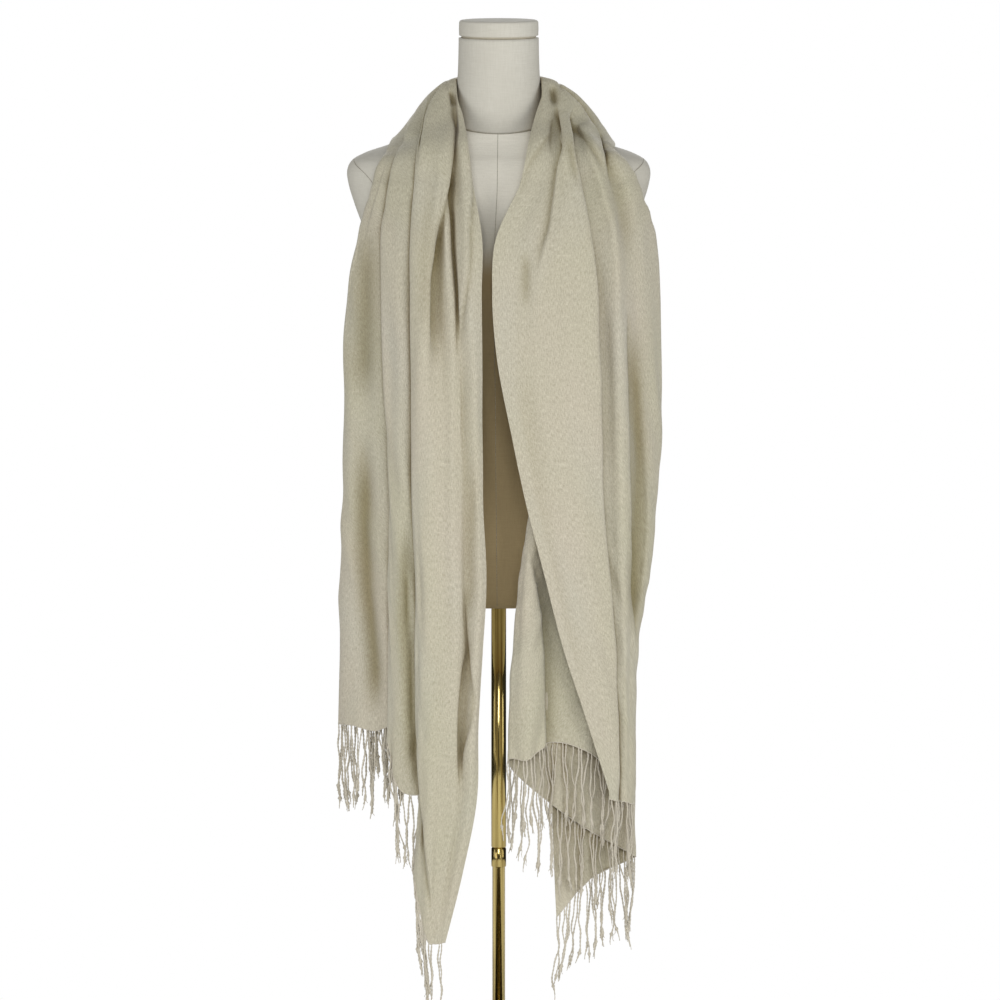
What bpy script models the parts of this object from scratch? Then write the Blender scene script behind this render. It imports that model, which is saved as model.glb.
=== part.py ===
"""Pashmina shawl round the neck of a limbless dress form, on a pole and a round base.

Sizes are in millimetres, and MM turns them into metres. The origin is on the floor under the
pole, +Z is up, the form faces -Y, and left and right are those of someone who faces it.
"""

import math
import random
from collections import namedtuple

import bmesh
import bpy
import numpy as np
from mathutils import Vector

MM = 0.001
SEAM_GAP = 0.3
CLOTH_WALL = 1.2
AXIS_MERGE = 0.00001

# Stand
BASE_RADIUS = 150
BASE_THICKNESS = 14
HUB_RADIUS = 21
HUB_HEIGHT = 34
LOWER_POLE_RADIUS = 8
LOWER_POLE_TOP = 412
UPPER_POLE_RADIUS = 9.3
COLLAR_RADIUS = 10.5
COLLAR_HEIGHT = 9
COLLAR_BEVEL = 1
POLE_SIDES = 16
BASE_SIDES = 36
BASE_ROUNDING = 5
HUB_TOP_RADIUS = 12
HUB_ROUNDING = 3
HUB_FOOT_HEIGHT = 3
HUB_FLARE = 5
RIM_STEPS = 3

# Form: a row for each level ring, with its reach to the sides, front and back. The tilt lifts a
# ring towards the back, up to the slant of the neckline.
FormRing = namedtuple("FormRing", "height side front back tilt")
TORSO_RINGS = (
    FormRing(723, 144, 92, 94, 0),
    FormRing(731, 152, 99, 101, 0),
    FormRing(780, 158, 104, 107, 0),
    FormRing(860, 147, 99, 100, 0),
    FormRing(940, 134, 94, 88, 0),
    FormRing(1010, 141, 101, 90, 0),
    FormRing(1080, 156, 114, 100, 0),
    FormRing(1140, 165, 118, 108, 0),
    FormRing(1189, 169, 111, 111, 0),
    FormRing(1219, 179, 103, 109, 0),
    FormRing(1245, 187, 95, 105, 0),
    FormRing(1262, 189, 88, 101, 0),
    FormRing(1274, 184, 82, 97, 0.01),
    FormRing(1283, 169, 76, 91, 0.03),
    FormRing(1291, 143, 70, 84, 0.07),
    FormRing(1300, 116, 65, 76, 0.12),
    FormRing(1311, 90, 60, 68, 0.18),
    FormRing(1326, 61, 57, 59, 0.26),
)
NECK_RINGS = (
    FormRing(1326.6, 60.7, 56.7, 58.7, 0.26),
    FormRing(1336, 57, 54, 55, 0.18),
    FormRing(1352, 54, 52, 53, 0.08),
    FormRing(1379, 51.3, 51, 51.3, 0),
    FormRing(1404, 50.3, 50.3, 50.3, 0),
    FormRing(1428, 49.9, 49.9, 49.9, 0),
)
CHEST_HEIGHT = 1140
SURFACE_ACCURACY = 0.0001
BODY_SQUARENESS = 2.3
NECK_SQUARENESS = 2.0
RING_SIDES = 32
CAP_RADIUS = 49.4
CAP_TOP = 1450
CAP_ROUNDING = 4
CAP_GROOVE_RADIUS = 46.5
CAP_GROOVE_HEIGHT = 2.2

# Shawl. A depth is how far a fold lies in front of the hanging line, which keeps clear of the
# form and is plumb below the chest: a row for each height, with its reach to front and side.
HangRow = namedtuple("HangRow", "height front side")
HANG_ROWS = (
    HangRow(310, 125, 212),
    HangRow(1120, 125, 212),
    HangRow(1190, 118, 210),
    HangRow(1250, 101, 206),
    HangRow(1290, 84, 200),
)
HANG_SQUARENESS = 2.5
LEAST_INSIDE = 0.02

# Each fold runs from the line where it comes over the shoulder to its own end at the hem.
# `turn` is the room inside a sharp fold, whose under side may end at another height; `shoulder`
# is its place across and its height off the shoulder; `across` is its distance from the centre
# line at FOLD_HEIGHTS, and `depth` its depth at DEPTH_HEIGHTS.
Fold = namedtuple("Fold", "name hem hem_under turn shoulder across depth")
FOLD_HEIGHTS = (1250, 1190, 1120, 1040, 950, 860, 770, 680, 590, 500, 400, 310)
DEPTH_HEIGHTS = (1250, 1120, 860, 590, 310)
LEFT_FOLDS = (
    Fold("inner selvage", 314, None, 0, (-45, 21),
         (-32, -21, -21, -20, -20, -20, -15, -20, -25, -26, -45, -67), (24, 34, 34, 34, 34)),
    Fold("inner crest", 313, None, 0, (-49, 27),
         (-42, -38, -38, -31, -28, -27, -23, -28, -33, -35, -53, -71), (30, 40, 40, 40, 38)),
    Fold("inner valley", 312, None, 0, (-54, 20),
         (-57, -56, -51, -47, -46, -45, -46, -41, -45, -46, -61, -75), (20, 31, 34, 30, 35)),
    Fold("strip crest", 312, None, 0, (-60, 24),
         (-65, -65, -60, -57, -57, -57, -57, -53, -53, -55, -67, -77), (29, 36, 39, 38, 38)),
    Fold("strip valley", 312, None, 0, (-68, 20),
         (-71, -75, -76, -72, -68, -68, -68, -66, -65, -66, -75, -81), (26, 30, 38, 39, 38)),
    Fold("front crest", 312, None, 0, (-74, 32),
         (-76, -85, -86, -88, -88, -88, -87, -86, -85, -83, -86, -86), (33, 44, 43, 42, 40)),
    Fold("front fold", 406, 425, 5, (-97, 29),
         (-103, -108, -108, -108, -107, -107, -103, -103, -102, -98, -106), (30, 38, 37, 37, 36)),
    Fold("front fold, under", 497, 497, 5, (-86, 22),
         (-88, -88, -88, -87, -86, -86, -85, -83, -83, -91), (22, 29, 29, 29, 29)),
    Fold("middle crest", 501, None, 0, (-107, 20),
         (-120, -123, -124, -122, -121, -121, -121, -121, -120, -121), (21, 27, 27, 27, 27)),
    Fold("middle fold", 562, 568, 5, (-119, 17),
         (-136, -145, -145, -142, -138, -135, -136, -136, -136, -137), (17, 23, 23, 23, 23)),
    Fold("middle fold, under", 592, 592, 5, (-111, 12.5),
         (-127, -133, -131, -126, -123, -122, -121, -121, -123), (11, 17, 17, 17, 17)),
    Fold("outer valley", 574, None, 0, (-122, 8.5),
         (-142, -155, -163, -166, -168, -168, -166, -157, -153), (8, 11, 9, 9, 9)),
    Fold("outer crest", 583, None, 0, (-129, 8.5),
         (-148, -166, -180, -183, -186, -186, -186, -183, -181), (9, 14, 14, 14, 14)),
    Fold("outer fold", 585, 585, 7, (-134, 6.5),
         (-156, -173, -186, -191, -192, -193, -196, -198, -198), (6, 9, 8, 8, 8)),
    Fold("back fold, inner", 600, 604, 5, (-72, 10),
         (-90, -92, -92, -92, -92, -92, -92, -92, -92), (9, 9, 9, 9, 9)),
    Fold("back fold, outer", 612, 612, 5, (-106, 3),
         (-134, -148, -160, -163, -164, -165, -165, -165, -165), (-4, -12, -15, -15, -15)),
    Fold("outer selvage", 625, None, 0, (-76, 4),
         (-108, -110, -110, -110, -110, -110, -110, -110, -110), (-4, -7, -8, -8, -8)),
)
RIGHT_FOLDS = (
    Fold("inner selvage", 491, None, 0, (45, 22),
         (25, -3, -8, -2, 15, 34, 57, 80, 109, 137), (26, 36, 37, 36, 34)),
    Fold("dimple", 491, None, 0, (56, 29),
         (45, 24, 17, 20, 35, 52, 72, 93, 119, 139), (22, 32, 38, 37, 34)),
    Fold("crease", 490, None, 0, (70, 25),
         (69, 59, 44, 48, 62, 73, 89, 108, 129, 142), (27, 37, 40, 38, 34)),
    Fold("front crest", 489, None, 0, (77, 32),
         (87, 92, 94, 98, 103, 107, 117, 128, 139, 145), (35, 43, 42, 39, 34)),
    Fold("front fold", 488, 488, 4.5, (85, 34),
         (102, 114, 122, 124, 127, 129, 137, 144, 148, 149), (34, 42, 40, 37, 34)),
    Fold("front fold, under", 488, 488, 4.5, (78, 25),
         (89, 99, 105, 108, 110, 114, 124, 134, 143, 147), (26, 34, 32, 31, 31)),
    Fold("inner hollow", 487, None, 0, (96, 22),
         (117, 132, 134, 134, 137, 138, 143, 148, 152, 153), (19, 27, 28, 28, 31)),
    Fold("side crest", 486, None, 0, (107, 26),
         (128, 145, 148, 149, 151, 153, 155, 157, 158, 158), (24, 36, 37, 34, 33)),
    Fold("side valley", 484, None, 0, (120, 17),
         (143, 157, 161, 167, 172, 173, 170, 163, 162, 162), (13, 24, 24, 29, 32)),
    Fold("side roll", 483, None, 0, (128, 17),
         (162, 178, 184, 187, 190, 187, 182, 169, 166, 166), (14, 22, 25, 28, 31)),
    Fold("outer fold", 482, 482, 4.5, (139, 7),
         (174, 193, 199, 201, 202, 195, 187, 173, 170, 169), (6, 12, 14, 21, 27)),
    Fold("second layer crest", 545, None, 0, (125, 6.5),
         (150, 158, 158, 158, 154, 149, 142, 127, 119, 117), (9, 15, 19, 20, 20)),
    Fold("second layer valley", 561, None, 0, (104, 11),
         (114, 108, 102, 95, 87, 77, 68, 65, 64, 64), (12, 13, 11, 9, 10)),
    Fold("second layer roll", 541, None, 0, (80, 16),
         (77, 62, 58, 58, 54, 49, 39, 37, 35, 35), (16, 20, 24, 24, 22)),
    Fold("inner fold", 542, 532, 5, (64, 18),
         (62, 39, 33, 33, 37, 39, 27, 19, 14, 14), (13, 15, 17, 17, 16)),
    Fold("third layer", 463, None, 0, (90, 8),
         (108, 108, 108, 108, 104, 99, 92, 89, 89, 92), (5, 6, 5, 4, 5)),
    Fold("third layer fold", 414, 412, 4, (118, 4),
         (150, 174, 181, 182, 182, 178, 174, 169, 169, 169), (3, 1, 2, 5, 7)),
    Fold("last layer", 388, None, 0, (90, 4),
         (114, 127, 127, 127, 127, 124, 122, 117, 117, 115), (2, -2, -2, -2, -2)),
    Fold("outer selvage", 340, None, 0, (66, 7),
         (77, 70, 67, 67, 67, 67, 67, 67, 65, 66, 69, 73), (4, 2, 1, -1, -3)),
)

# Section of the roll round the neck: distance outward from the neck's foot along the slope of
# the shoulder, and height off that slope. The first 13 points are its upper side, and three
# layers lie under it. ROLL_TURNS are the points on both sides of its turns, and LEFT_TURNS and
# RIGHT_TURNS the control columns of each fall that come to them.
ROLL_LEFT = (
    (-16, 30), (-23, 35), (-14, 38), (-4, 35), (6, 35), (17, 30), (26, 29), (37, 22), (46, 19),
    (56, 14), (68, 10), (78, 7.5), (85, 5.6),
    (85, 2), (66, 6), (50, 9), (24, 18), (-6, 26),
    (-5, 20.5), (20, 12.5), (46, 5), (45, 1), (20, 6), (2, 10),
)
ROLL_NAPE = (
    (-24, 22), (-33, 28), (-22, 31), (-9, 28), (4, 31), (16, 27), (28, 28), (40, 22), (52, 20),
    (64, 15), (76, 12), (86, 9.5), (94, 7.5),
    (94, 3), (76, 6), (56, 10), (28, 17), (-9, 21),
    (-8, 15.5), (24, 11), (58, 5), (57, 1), (28, 5.5), (0, 8),
)
ROLL_RIGHT = (
    (-16, 31), (-23, 38), (-13, 42), (0, 39), (11, 41), (24, 35), (35, 36), (49, 29), (62, 26),
    (74, 18), (84, 13), (92, 9), (97, 6.4),
    (97, 2.8), (80, 8), (60, 14), (30, 23), (-8, 29),
    (-7, 23.5), (30, 15), (62, 6), (61, 2), (30, 8), (2, 12),
)
ROLL_TURNS = (12, 13, 17, 18, 20, 21)
LEFT_TURNS = (17, 18, 19, 20, 21, 22)
RIGHT_TURNS = (12, 13, 17, 18, 20, 21)
NECK_FOOT_RADIUS = 58
NECK_FOOT_HEIGHT = 1337
NAPE_FOOT_HEIGHT = 1345
SHOULDER_SLOPE = math.radians(28.4)
NAPE_SLOPE = math.radians(52)
NAPE_SHARPNESS = 3
SHOULDER_Y = -44
SHOULDER_LEAN = math.radians(37)
SHOULDER_CLEARANCE = 1.5
MOST_SHOULDER_TURN = 2.5

SHORTEST_SPAN = 0.01
SAMPLES_PER_FOLD = 2
ROWS_OVER_SHOULDER = 4
ROWS_DOWN = 12
ROWS_ROUND_NECK = 10
SEAM_RUN = 2
BEHIND_SEAM = 0.8
CHEST_LIFT = 9
CHEST_OUTWARD = Vector((0, -0.7, 0.7))

# Fringe
STRIP_WIDTH = 4
STRAND_PITCH = 11
ROOT_WIDTH = 3.4
STRAND_LENGTH = 93
STRAND_TIP_SHARE = 0.6
STRAND_SWAY = 1.2
STEEPEST = 0.1
SEED = 7


def material(name, colour, roughness, metallic=0.0):
    made = bpy.data.materials.new(name)
    made.use_nodes = True
    shader = made.node_tree.nodes["Principled BSDF"]
    shader.inputs["Base Color"].default_value = (*colour, 1)
    shader.inputs["Roughness"].default_value = roughness
    shader.inputs["Metallic"].default_value = metallic
    return made


def add_object(name, mesh, skin):
    part = bpy.data.objects.new(name, mesh)
    mesh.materials.append(skin)
    parts.objects.link(part)
    return part


def smooth(places, values, place):
    """A curve through the values, with the slope at each one taken from its neighbours."""
    places = np.asarray(places, float)
    values = np.asarray(values, float)
    if places[0] > places[-1]:
        places = places[::-1]
        values = values[::-1]
    place = float(np.clip(place, places[0], places[-1]))
    slopes = np.gradient(values, places)
    k = int(np.clip(np.searchsorted(places, place) - 1, 0, len(places) - 2))
    width = places[k + 1] - places[k]
    t = (place - places[k]) / width
    start = values[k] * (2 * t**3 - 3 * t**2 + 1) + slopes[k] * width * (t**3 - 2 * t**2 + t)
    end = values[k + 1] * (3 * t**2 - 2 * t**3) + slopes[k + 1] * width * (t**3 - t**2)
    return float(start + end)


def spline(points, samples):
    """Points along a centripetal curve through the given ones, `samples` to each span."""
    ends = [2 * points[0] - points[1], *points, 2 * points[-1] - points[-2]]
    run = [points[0].copy()]
    for k in range(len(points) - 1):
        p = ends[k:k + 4]
        knots = [0.0]
        for a, b in zip(p, p[1:]):
            knots.append(knots[-1] + math.sqrt(max((b - a).length, SHORTEST_SPAN)))
        for j in range(1, samples + 1):
            t = blend(knots[1], knots[2], j / samples)
            first = [blend(p[i], p[i + 1], share(t, knots, i, 1)) for i in range(3)]
            second = [blend(first[i], first[i + 1], share(t, knots, i, 2)) for i in range(2)]
            run.append(blend(second[0], second[1], share(t, knots, 1, 1)))
    return run


def share(t, knots, i, reach):
    return (t - knots[i]) / (knots[i + reach] - knots[i])


def blend(a, b, t):
    return a + (b - a) * t


def torso_value(field, height):
    return smooth(
        [r.height for r in TORSO_RINGS], [getattr(r, field) for r in TORSO_RINGS], height
    )


def ring_points(ring, squareness):
    """One level ring of the form: a superellipse with its own reach to the front and back."""
    points = []
    for k in range(RING_SIDES):
        turn = 2 * math.pi * k / RING_SIDES
        c, s = math.cos(turn), math.sin(turn)
        x = ring.side * math.copysign(abs(c) ** (2 / squareness), c)
        y = (ring.back if s > 0 else ring.front) * math.copysign(abs(s) ** (2 / squareness), s)
        points.append(Vector((x, y, ring.height + ring.tilt * y)))
    return points


def form_object(name, rings, squareness, skin):
    """A closed body lofted through its rings."""
    shape = bmesh.new()
    loops = [
        [shape.verts.new(p * MM) for p in ring_points(ring, squareness)] for ring in rings
    ]
    for low, high in zip(loops, loops[1:]):
        for k in range(RING_SIDES):
            n = (k + 1) % RING_SIDES
            shape.faces.new((low[k], low[n], high[n], high[k]))
    shape.faces.new(reversed(loops[0]))
    shape.faces.new(loops[-1])
    mesh = bpy.data.meshes.new(name)
    shape.to_mesh(mesh)
    shape.free()
    mesh.shade_smooth()
    return add_object(name, mesh, skin)


def turned_object(name, profile, skin, sides):
    """A profile of (radius, height) points, from its top to its foot, turned about Z."""
    shape = bmesh.new()
    points = [shape.verts.new((r * MM, 0, z * MM)) for r, z in profile]
    for a, b in zip(points, points[1:]):
        shape.edges.new((a, b))
    mesh = bpy.data.meshes.new(name)
    shape.to_mesh(mesh)
    shape.free()
    part = add_object(name, mesh, skin)
    screw = part.modifiers.new("turn", "SCREW")
    screw.steps = sides
    screw.render_steps = sides
    screw.use_merge_vertices = True
    screw.merge_threshold = AXIS_MERGE
    screw.use_smooth_shade = True
    return part


def body_top(x, y):
    """Height of the form's upper surface over a point."""
    low, high = CHEST_HEIGHT, TORSO_RINGS[-1].height
    while high - low > SURFACE_ACCURACY:
        middle = (low + high) / 2
        side = torso_value("side", middle)
        reach = torso_value("back" if y > 0 else "front", middle)
        level = (abs(x) / side) ** BODY_SQUARENESS + (abs(y) / reach) ** BODY_SQUARENESS
        if level < 1:
            low = middle
        else:
            high = middle
    return low + torso_value("tilt", low) * y


def roll_point(section, angle, slot):
    """A point of the neck roll: angle -90 is over the left shoulder, 0 the nape, 90 the right."""
    turn = math.radians(angle)
    nape_share = math.cos(turn) ** NAPE_SHARPNESS
    slope = blend(SHOULDER_SLOPE, NAPE_SLOPE, nape_share)
    foot = blend(NECK_FOOT_HEIGHT, NAPE_FOOT_HEIGHT, nape_share)
    out, up = (
        blend(a, b, nape_share) for a, b in zip(at_slot(section, slot), at_slot(ROLL_NAPE, slot))
    )
    radius = NECK_FOOT_RADIUS + out * math.cos(slope) + up * math.sin(slope)
    height = foot - out * math.sin(slope) + up * math.cos(slope)
    return Vector((math.sin(turn) * radius, math.cos(turn) * radius, height))


def at_slot(section, slot):
    k = min(int(slot), len(section) - 2)
    return [blend(a, b, slot - k) for a, b in zip(section[k], section[k + 1])]


def roll_slots(turns):
    """Where each control column of a fall lies on the roll's section."""
    last = len(ROLL_NAPE) - 1
    columns = (0, *turns, last)
    return [float(np.interp(k, columns, (0, *ROLL_TURNS, last))) for k in range(last + 1)]


def hang_y(x, height):
    front, side = (
        smooth([r.height for r in HANG_ROWS], [getattr(r, f) for r in HANG_ROWS], height)
        for f in ("front", "side")
    )
    inside = max(1 - (abs(x) / side) ** HANG_SQUARENESS, LEAST_INSIDE)
    return -front * inside ** (1 / HANG_SQUARENESS)


def columns_of(folds):
    """The control columns of a fall: one for a soft fold, and two for a sharp one."""
    for fold in folds:
        yield fold, 0.0, fold.hem
        if fold.turn:
            yield fold, fold.turn, fold.hem_under


def hanging_point(fold, inset, height):
    x = smooth(FOLD_HEIGHTS[:len(fold.across)], fold.across, height)
    depth = smooth(DEPTH_HEIGHTS, fold.depth, height) - inset
    return Vector((x, hang_y(x, height) - depth, height))


def shoulder_point(fold, inset):
    x, lift = fold.shoulder
    lift -= min(inset, MOST_SHOULDER_TURN)
    foot = body_top(x, SHOULDER_Y) + SHOULDER_CLEARANCE
    y = SHOULDER_Y - lift * math.sin(SHOULDER_LEAN)
    return Vector((x, y, foot + lift * math.cos(SHOULDER_LEAN)))


def fall_rows(folds, section, angle, turns):
    """Rows of control points, from the top of the shoulder to the hem."""
    lanes = []
    top = FOLD_HEIGHTS[0]
    for (fold, inset, hem), slot in zip(columns_of(folds), roll_slots(turns)):
        over = [roll_point(section, angle * part, slot) for part in (BEHIND_SEAM, 1)]
        over += [shoulder_point(fold, inset)]
        over += [hanging_point(fold, inset, h) for h in FOLD_HEIGHTS[:2]]
        lane = spline(over, ROWS_OVER_SHOULDER)[ROWS_OVER_SHOULDER:3 * ROWS_OVER_SHOULDER + 1]
        for k in range(1, ROWS_OVER_SHOULDER):
            rise = CHEST_LIFT * math.sin(math.pi * k / ROWS_OVER_SHOULDER) ** 2
            lane[ROWS_OVER_SHOULDER + k] += rise * CHEST_OUTWARD
        lane.insert(1, lane[0] - Vector((0, SEAM_RUN, 0)))
        for k in range(1, ROWS_DOWN + 1):
            lane.append(hanging_point(fold, inset, blend(top, hem, k / ROWS_DOWN)))
        lanes.append(lane)
    return [spline(list(row), SAMPLES_PER_FOLD) for row in zip(*lanes)]


def neck_rows():
    """Rows of the neck stretch, from the left shoulder round the nape to the right one."""
    rows = []
    for k in range(ROWS_ROUND_NECK + 1):
        angle = blend(-90, 90, k / ROWS_ROUND_NECK)
        section = ROLL_LEFT if angle < 0 else ROLL_RIGHT
        rows.append([roll_point(section, angle, slot) for slot in range(len(section))])
    seams = [
        [[p + Vector((0, depth, 0)) for p in row] for depth in (SEAM_GAP, SEAM_GAP + SEAM_RUN)]
        for row in (rows[0], rows[-1])
    ]
    rows = [*seams[0], *rows[1:-1], *reversed(seams[1])]
    return [spline(row, SAMPLES_PER_FOLD) for row in rows]


def cloth_object(name, rows, skin):
    """A wall of cloth on a grid of points."""
    shape = bmesh.new()
    grid = [[shape.verts.new(p * MM) for p in row] for row in rows]
    for upper, lower in zip(grid, grid[1:]):
        for k in range(len(upper) - 1):
            shape.faces.new((upper[k], lower[k], lower[k + 1], upper[k + 1]))
    mesh = bpy.data.meshes.new(name)
    shape.to_mesh(mesh)
    shape.free()
    mesh.shade_smooth()
    part = add_object(name, mesh, skin)
    wall = part.modifiers.new("wall", "SOLIDIFY")
    wall.thickness = CLOTH_WALL * MM
    wall.offset = 0
    return part


def strip_points(hem):
    """Points under the hem, and whether a strand grows out of the stretch after each one."""
    runs = []
    for a, b in zip(hem, hem[1:]):
        plan = (b - a).to_2d().length
        length = (b - a).length
        clear = SEAM_GAP + CLOTH_WALL / 2 * abs(b.z - a.z) / length
        drop = clear / max(plan / length, STEEPEST)
        runs.append((a, b, plan, drop))
    points = []
    drops = [runs[0][3], *[max(r[3], n[3]) for r, n in zip(runs, runs[1:])], runs[-1][3]]
    for k, (a, b, plan, _) in enumerate(runs):
        stops = [(0, False)]
        count = round(plan / STRAND_PITCH)
        for i in range(count):
            middle = (i + 0.5) / count
            reach = ROOT_WIDTH / 2 / plan
            stops += [(middle - reach, True), (middle + reach, False)]
        for t, rooted in stops:
            drop = Vector((0, 0, blend(drops[k], drops[k + 1], t)))
            points.append((blend(a, b, t) - drop, rooted))
    points.append((hem[-1] - Vector((0, 0, drops[-1])), False))
    return points


def fringe_object(name, hem, skin):
    """A narrow strip under the hem, with the strands drawn down out of its lower edge."""
    chance = random.Random(SEED)
    points = strip_points(hem)
    down = Vector((0, 0, -STRIP_WIDTH))
    shape = bmesh.new()
    sections = []
    for k, (point, _) in enumerate(points):
        before = points[max(k - 1, 0)][0]
        after = points[min(k + 1, len(points) - 1)][0]
        side = down.cross(after - before).normalized() * (CLOTH_WALL / 2)
        corners = (point - side, point + side, point + side + down, point - side + down)
        sections.append([shape.verts.new(p * MM) for p in corners])
    roots = []
    for (_, rooted), a, b in zip(points, sections, sections[1:]):
        faces = [shape.faces.new((a[c], a[c - 3], b[c - 3], b[c])) for c in range(4)]
        if rooted:
            roots.append(faces[2])
    shape.faces.new(reversed(sections[0]))
    shape.faces.new(sections[-1])
    bmesh.ops.recalc_face_normals(shape, faces=shape.faces)
    made = bmesh.ops.extrude_discrete_faces(shape, faces=roots)
    for face in made["faces"]:
        middle = face.calc_center_median()
        sway = Vector((chance.uniform(-1, 1), chance.uniform(-1, 1), 0)) * STRAND_SWAY
        drop = (Vector((0, 0, -STRAND_LENGTH)) + sway) * MM
        for vert in face.verts:
            vert.co = middle + (vert.co - middle) * STRAND_TIP_SHARE + drop
    mesh = bpy.data.meshes.new(name)
    shape.to_mesh(mesh)
    shape.free()
    return add_object(name, mesh, skin)


def rounded(radius, height, rounding):
    """The rounded upper rim of a turned disc, from the flat top to the wall."""
    turns = [math.pi / 2 * k / RIM_STEPS for k in range(RIM_STEPS + 1)]
    return [
        (radius - rounding * (1 - math.sin(t)), height - rounding * (1 - math.cos(t)))
        for t in turns
    ]


def build():
    cashmere = material("cashmere", (0.56, 0.52, 0.41), 0.85)
    linen = material("linen", (0.60, 0.58, 0.50), 0.9)
    brass = material("brass", (0.55, 0.46, 0.22), 0.25, 1.0)

    neck_top = NECK_RINGS[-1].height
    form_object("form_torso", TORSO_RINGS, BODY_SQUARENESS, linen)
    form_object("form_neck", NECK_RINGS, NECK_SQUARENESS, linen)
    groove_foot = neck_top + SEAM_GAP
    turned_object("form_cap", [
        (0, CAP_TOP),
        *rounded(CAP_RADIUS, CAP_TOP, CAP_ROUNDING),
        (CAP_RADIUS, groove_foot + CAP_GROOVE_HEIGHT),
        (CAP_GROOVE_RADIUS, groove_foot + CAP_GROOVE_HEIGHT),
        (CAP_GROOVE_RADIUS, groove_foot),
        (0, groove_foot),
    ], linen, RING_SIDES)

    pole_top = TORSO_RINGS[0].height - SEAM_GAP
    collar_foot = LOWER_POLE_TOP + SEAM_GAP
    turned_object("pole_upper", [
        (0, pole_top),
        (UPPER_POLE_RADIUS, pole_top),
        (UPPER_POLE_RADIUS, collar_foot + COLLAR_HEIGHT),
        (COLLAR_RADIUS, collar_foot + COLLAR_HEIGHT - COLLAR_BEVEL),
        (COLLAR_RADIUS, collar_foot),
        (0, collar_foot),
    ], brass, POLE_SIDES)
    hub_top = BASE_THICKNESS + HUB_HEIGHT
    turned_object("pole_lower", [
        (0, LOWER_POLE_TOP),
        (LOWER_POLE_RADIUS, LOWER_POLE_TOP),
        (LOWER_POLE_RADIUS, hub_top + SEAM_GAP),
        (0, hub_top + SEAM_GAP),
    ], brass, POLE_SIDES)
    turned_object("base", [
        (0, hub_top),
        *rounded(HUB_TOP_RADIUS, hub_top, HUB_ROUNDING),
        (HUB_RADIUS, BASE_THICKNESS + HUB_FOOT_HEIGHT),
        (HUB_RADIUS + HUB_FLARE, BASE_THICKNESS),
        *rounded(BASE_RADIUS, BASE_THICKNESS, BASE_ROUNDING),
        (BASE_RADIUS, 0),
        (0, 0),
    ], brass, BASE_SIDES)

    left = fall_rows(LEFT_FOLDS, ROLL_LEFT, -90, LEFT_TURNS)
    right = fall_rows(RIGHT_FOLDS, ROLL_RIGHT, 90, RIGHT_TURNS)
    cloth_object("shawl_neck", neck_rows(), cashmere)
    cloth_object("shawl_left", left, cashmere)
    cloth_object("shawl_right", right, cashmere)
    fringe_object("fringe_left", left[-1], cashmere)
    fringe_object("fringe_right", right[-1], cashmere)


for old in list(bpy.data.objects):
    bpy.data.objects.remove(old)
parts = bpy.data.collections.new("pashmina_shawl")
bpy.context.scene.collection.children.link(parts)
build()
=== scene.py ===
"""Looks of the pashmina shawl on its dress form.

The shawl is one rectangle of cloth. It hangs round the neck of the form in two pleated falls,
which are lofted here through their folds, creased and closed as thin shells. Sizes are in
millimetres, and MM turns them into metres. Left and right are those of someone who faces the form.
"""

import math
import random
from collections import namedtuple

import bpy
import numpy as np
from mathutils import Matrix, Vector


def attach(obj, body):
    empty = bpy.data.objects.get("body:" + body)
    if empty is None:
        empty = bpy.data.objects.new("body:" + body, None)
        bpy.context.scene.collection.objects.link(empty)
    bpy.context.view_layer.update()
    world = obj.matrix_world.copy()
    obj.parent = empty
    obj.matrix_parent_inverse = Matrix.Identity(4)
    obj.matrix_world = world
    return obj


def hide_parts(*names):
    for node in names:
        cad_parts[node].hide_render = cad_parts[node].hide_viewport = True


MM = 0.001

# View: a long lens at the form's front, a little above it.
PICTURE_SIDE = 1250
PICTURE_CENTRE_X = 1.6
PICTURE_CENTRE_UP = 845.8
CAMERA_DISTANCE = 14000
CAMERA_ELEVATION = math.radians(5.5)

# The folds of the two falls, nearly as in the solids. A depth is how far a fold lies in front of
# the hanging line, which is plumb below the chest: a row for each height, with its reach to
# front and side.
HangRow = namedtuple("HangRow", "height front side")
HANG_ROWS = [HangRow(*row) for row in (
    (310, 125, 212),
    (1120, 125, 212),
    (1190, 118, 210),
    (1250, 101, 206),
    (1290, 84, 200),
)]
HANG_SQUARENESS = 2.5
LEAST_INSIDE = 0.02

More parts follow.
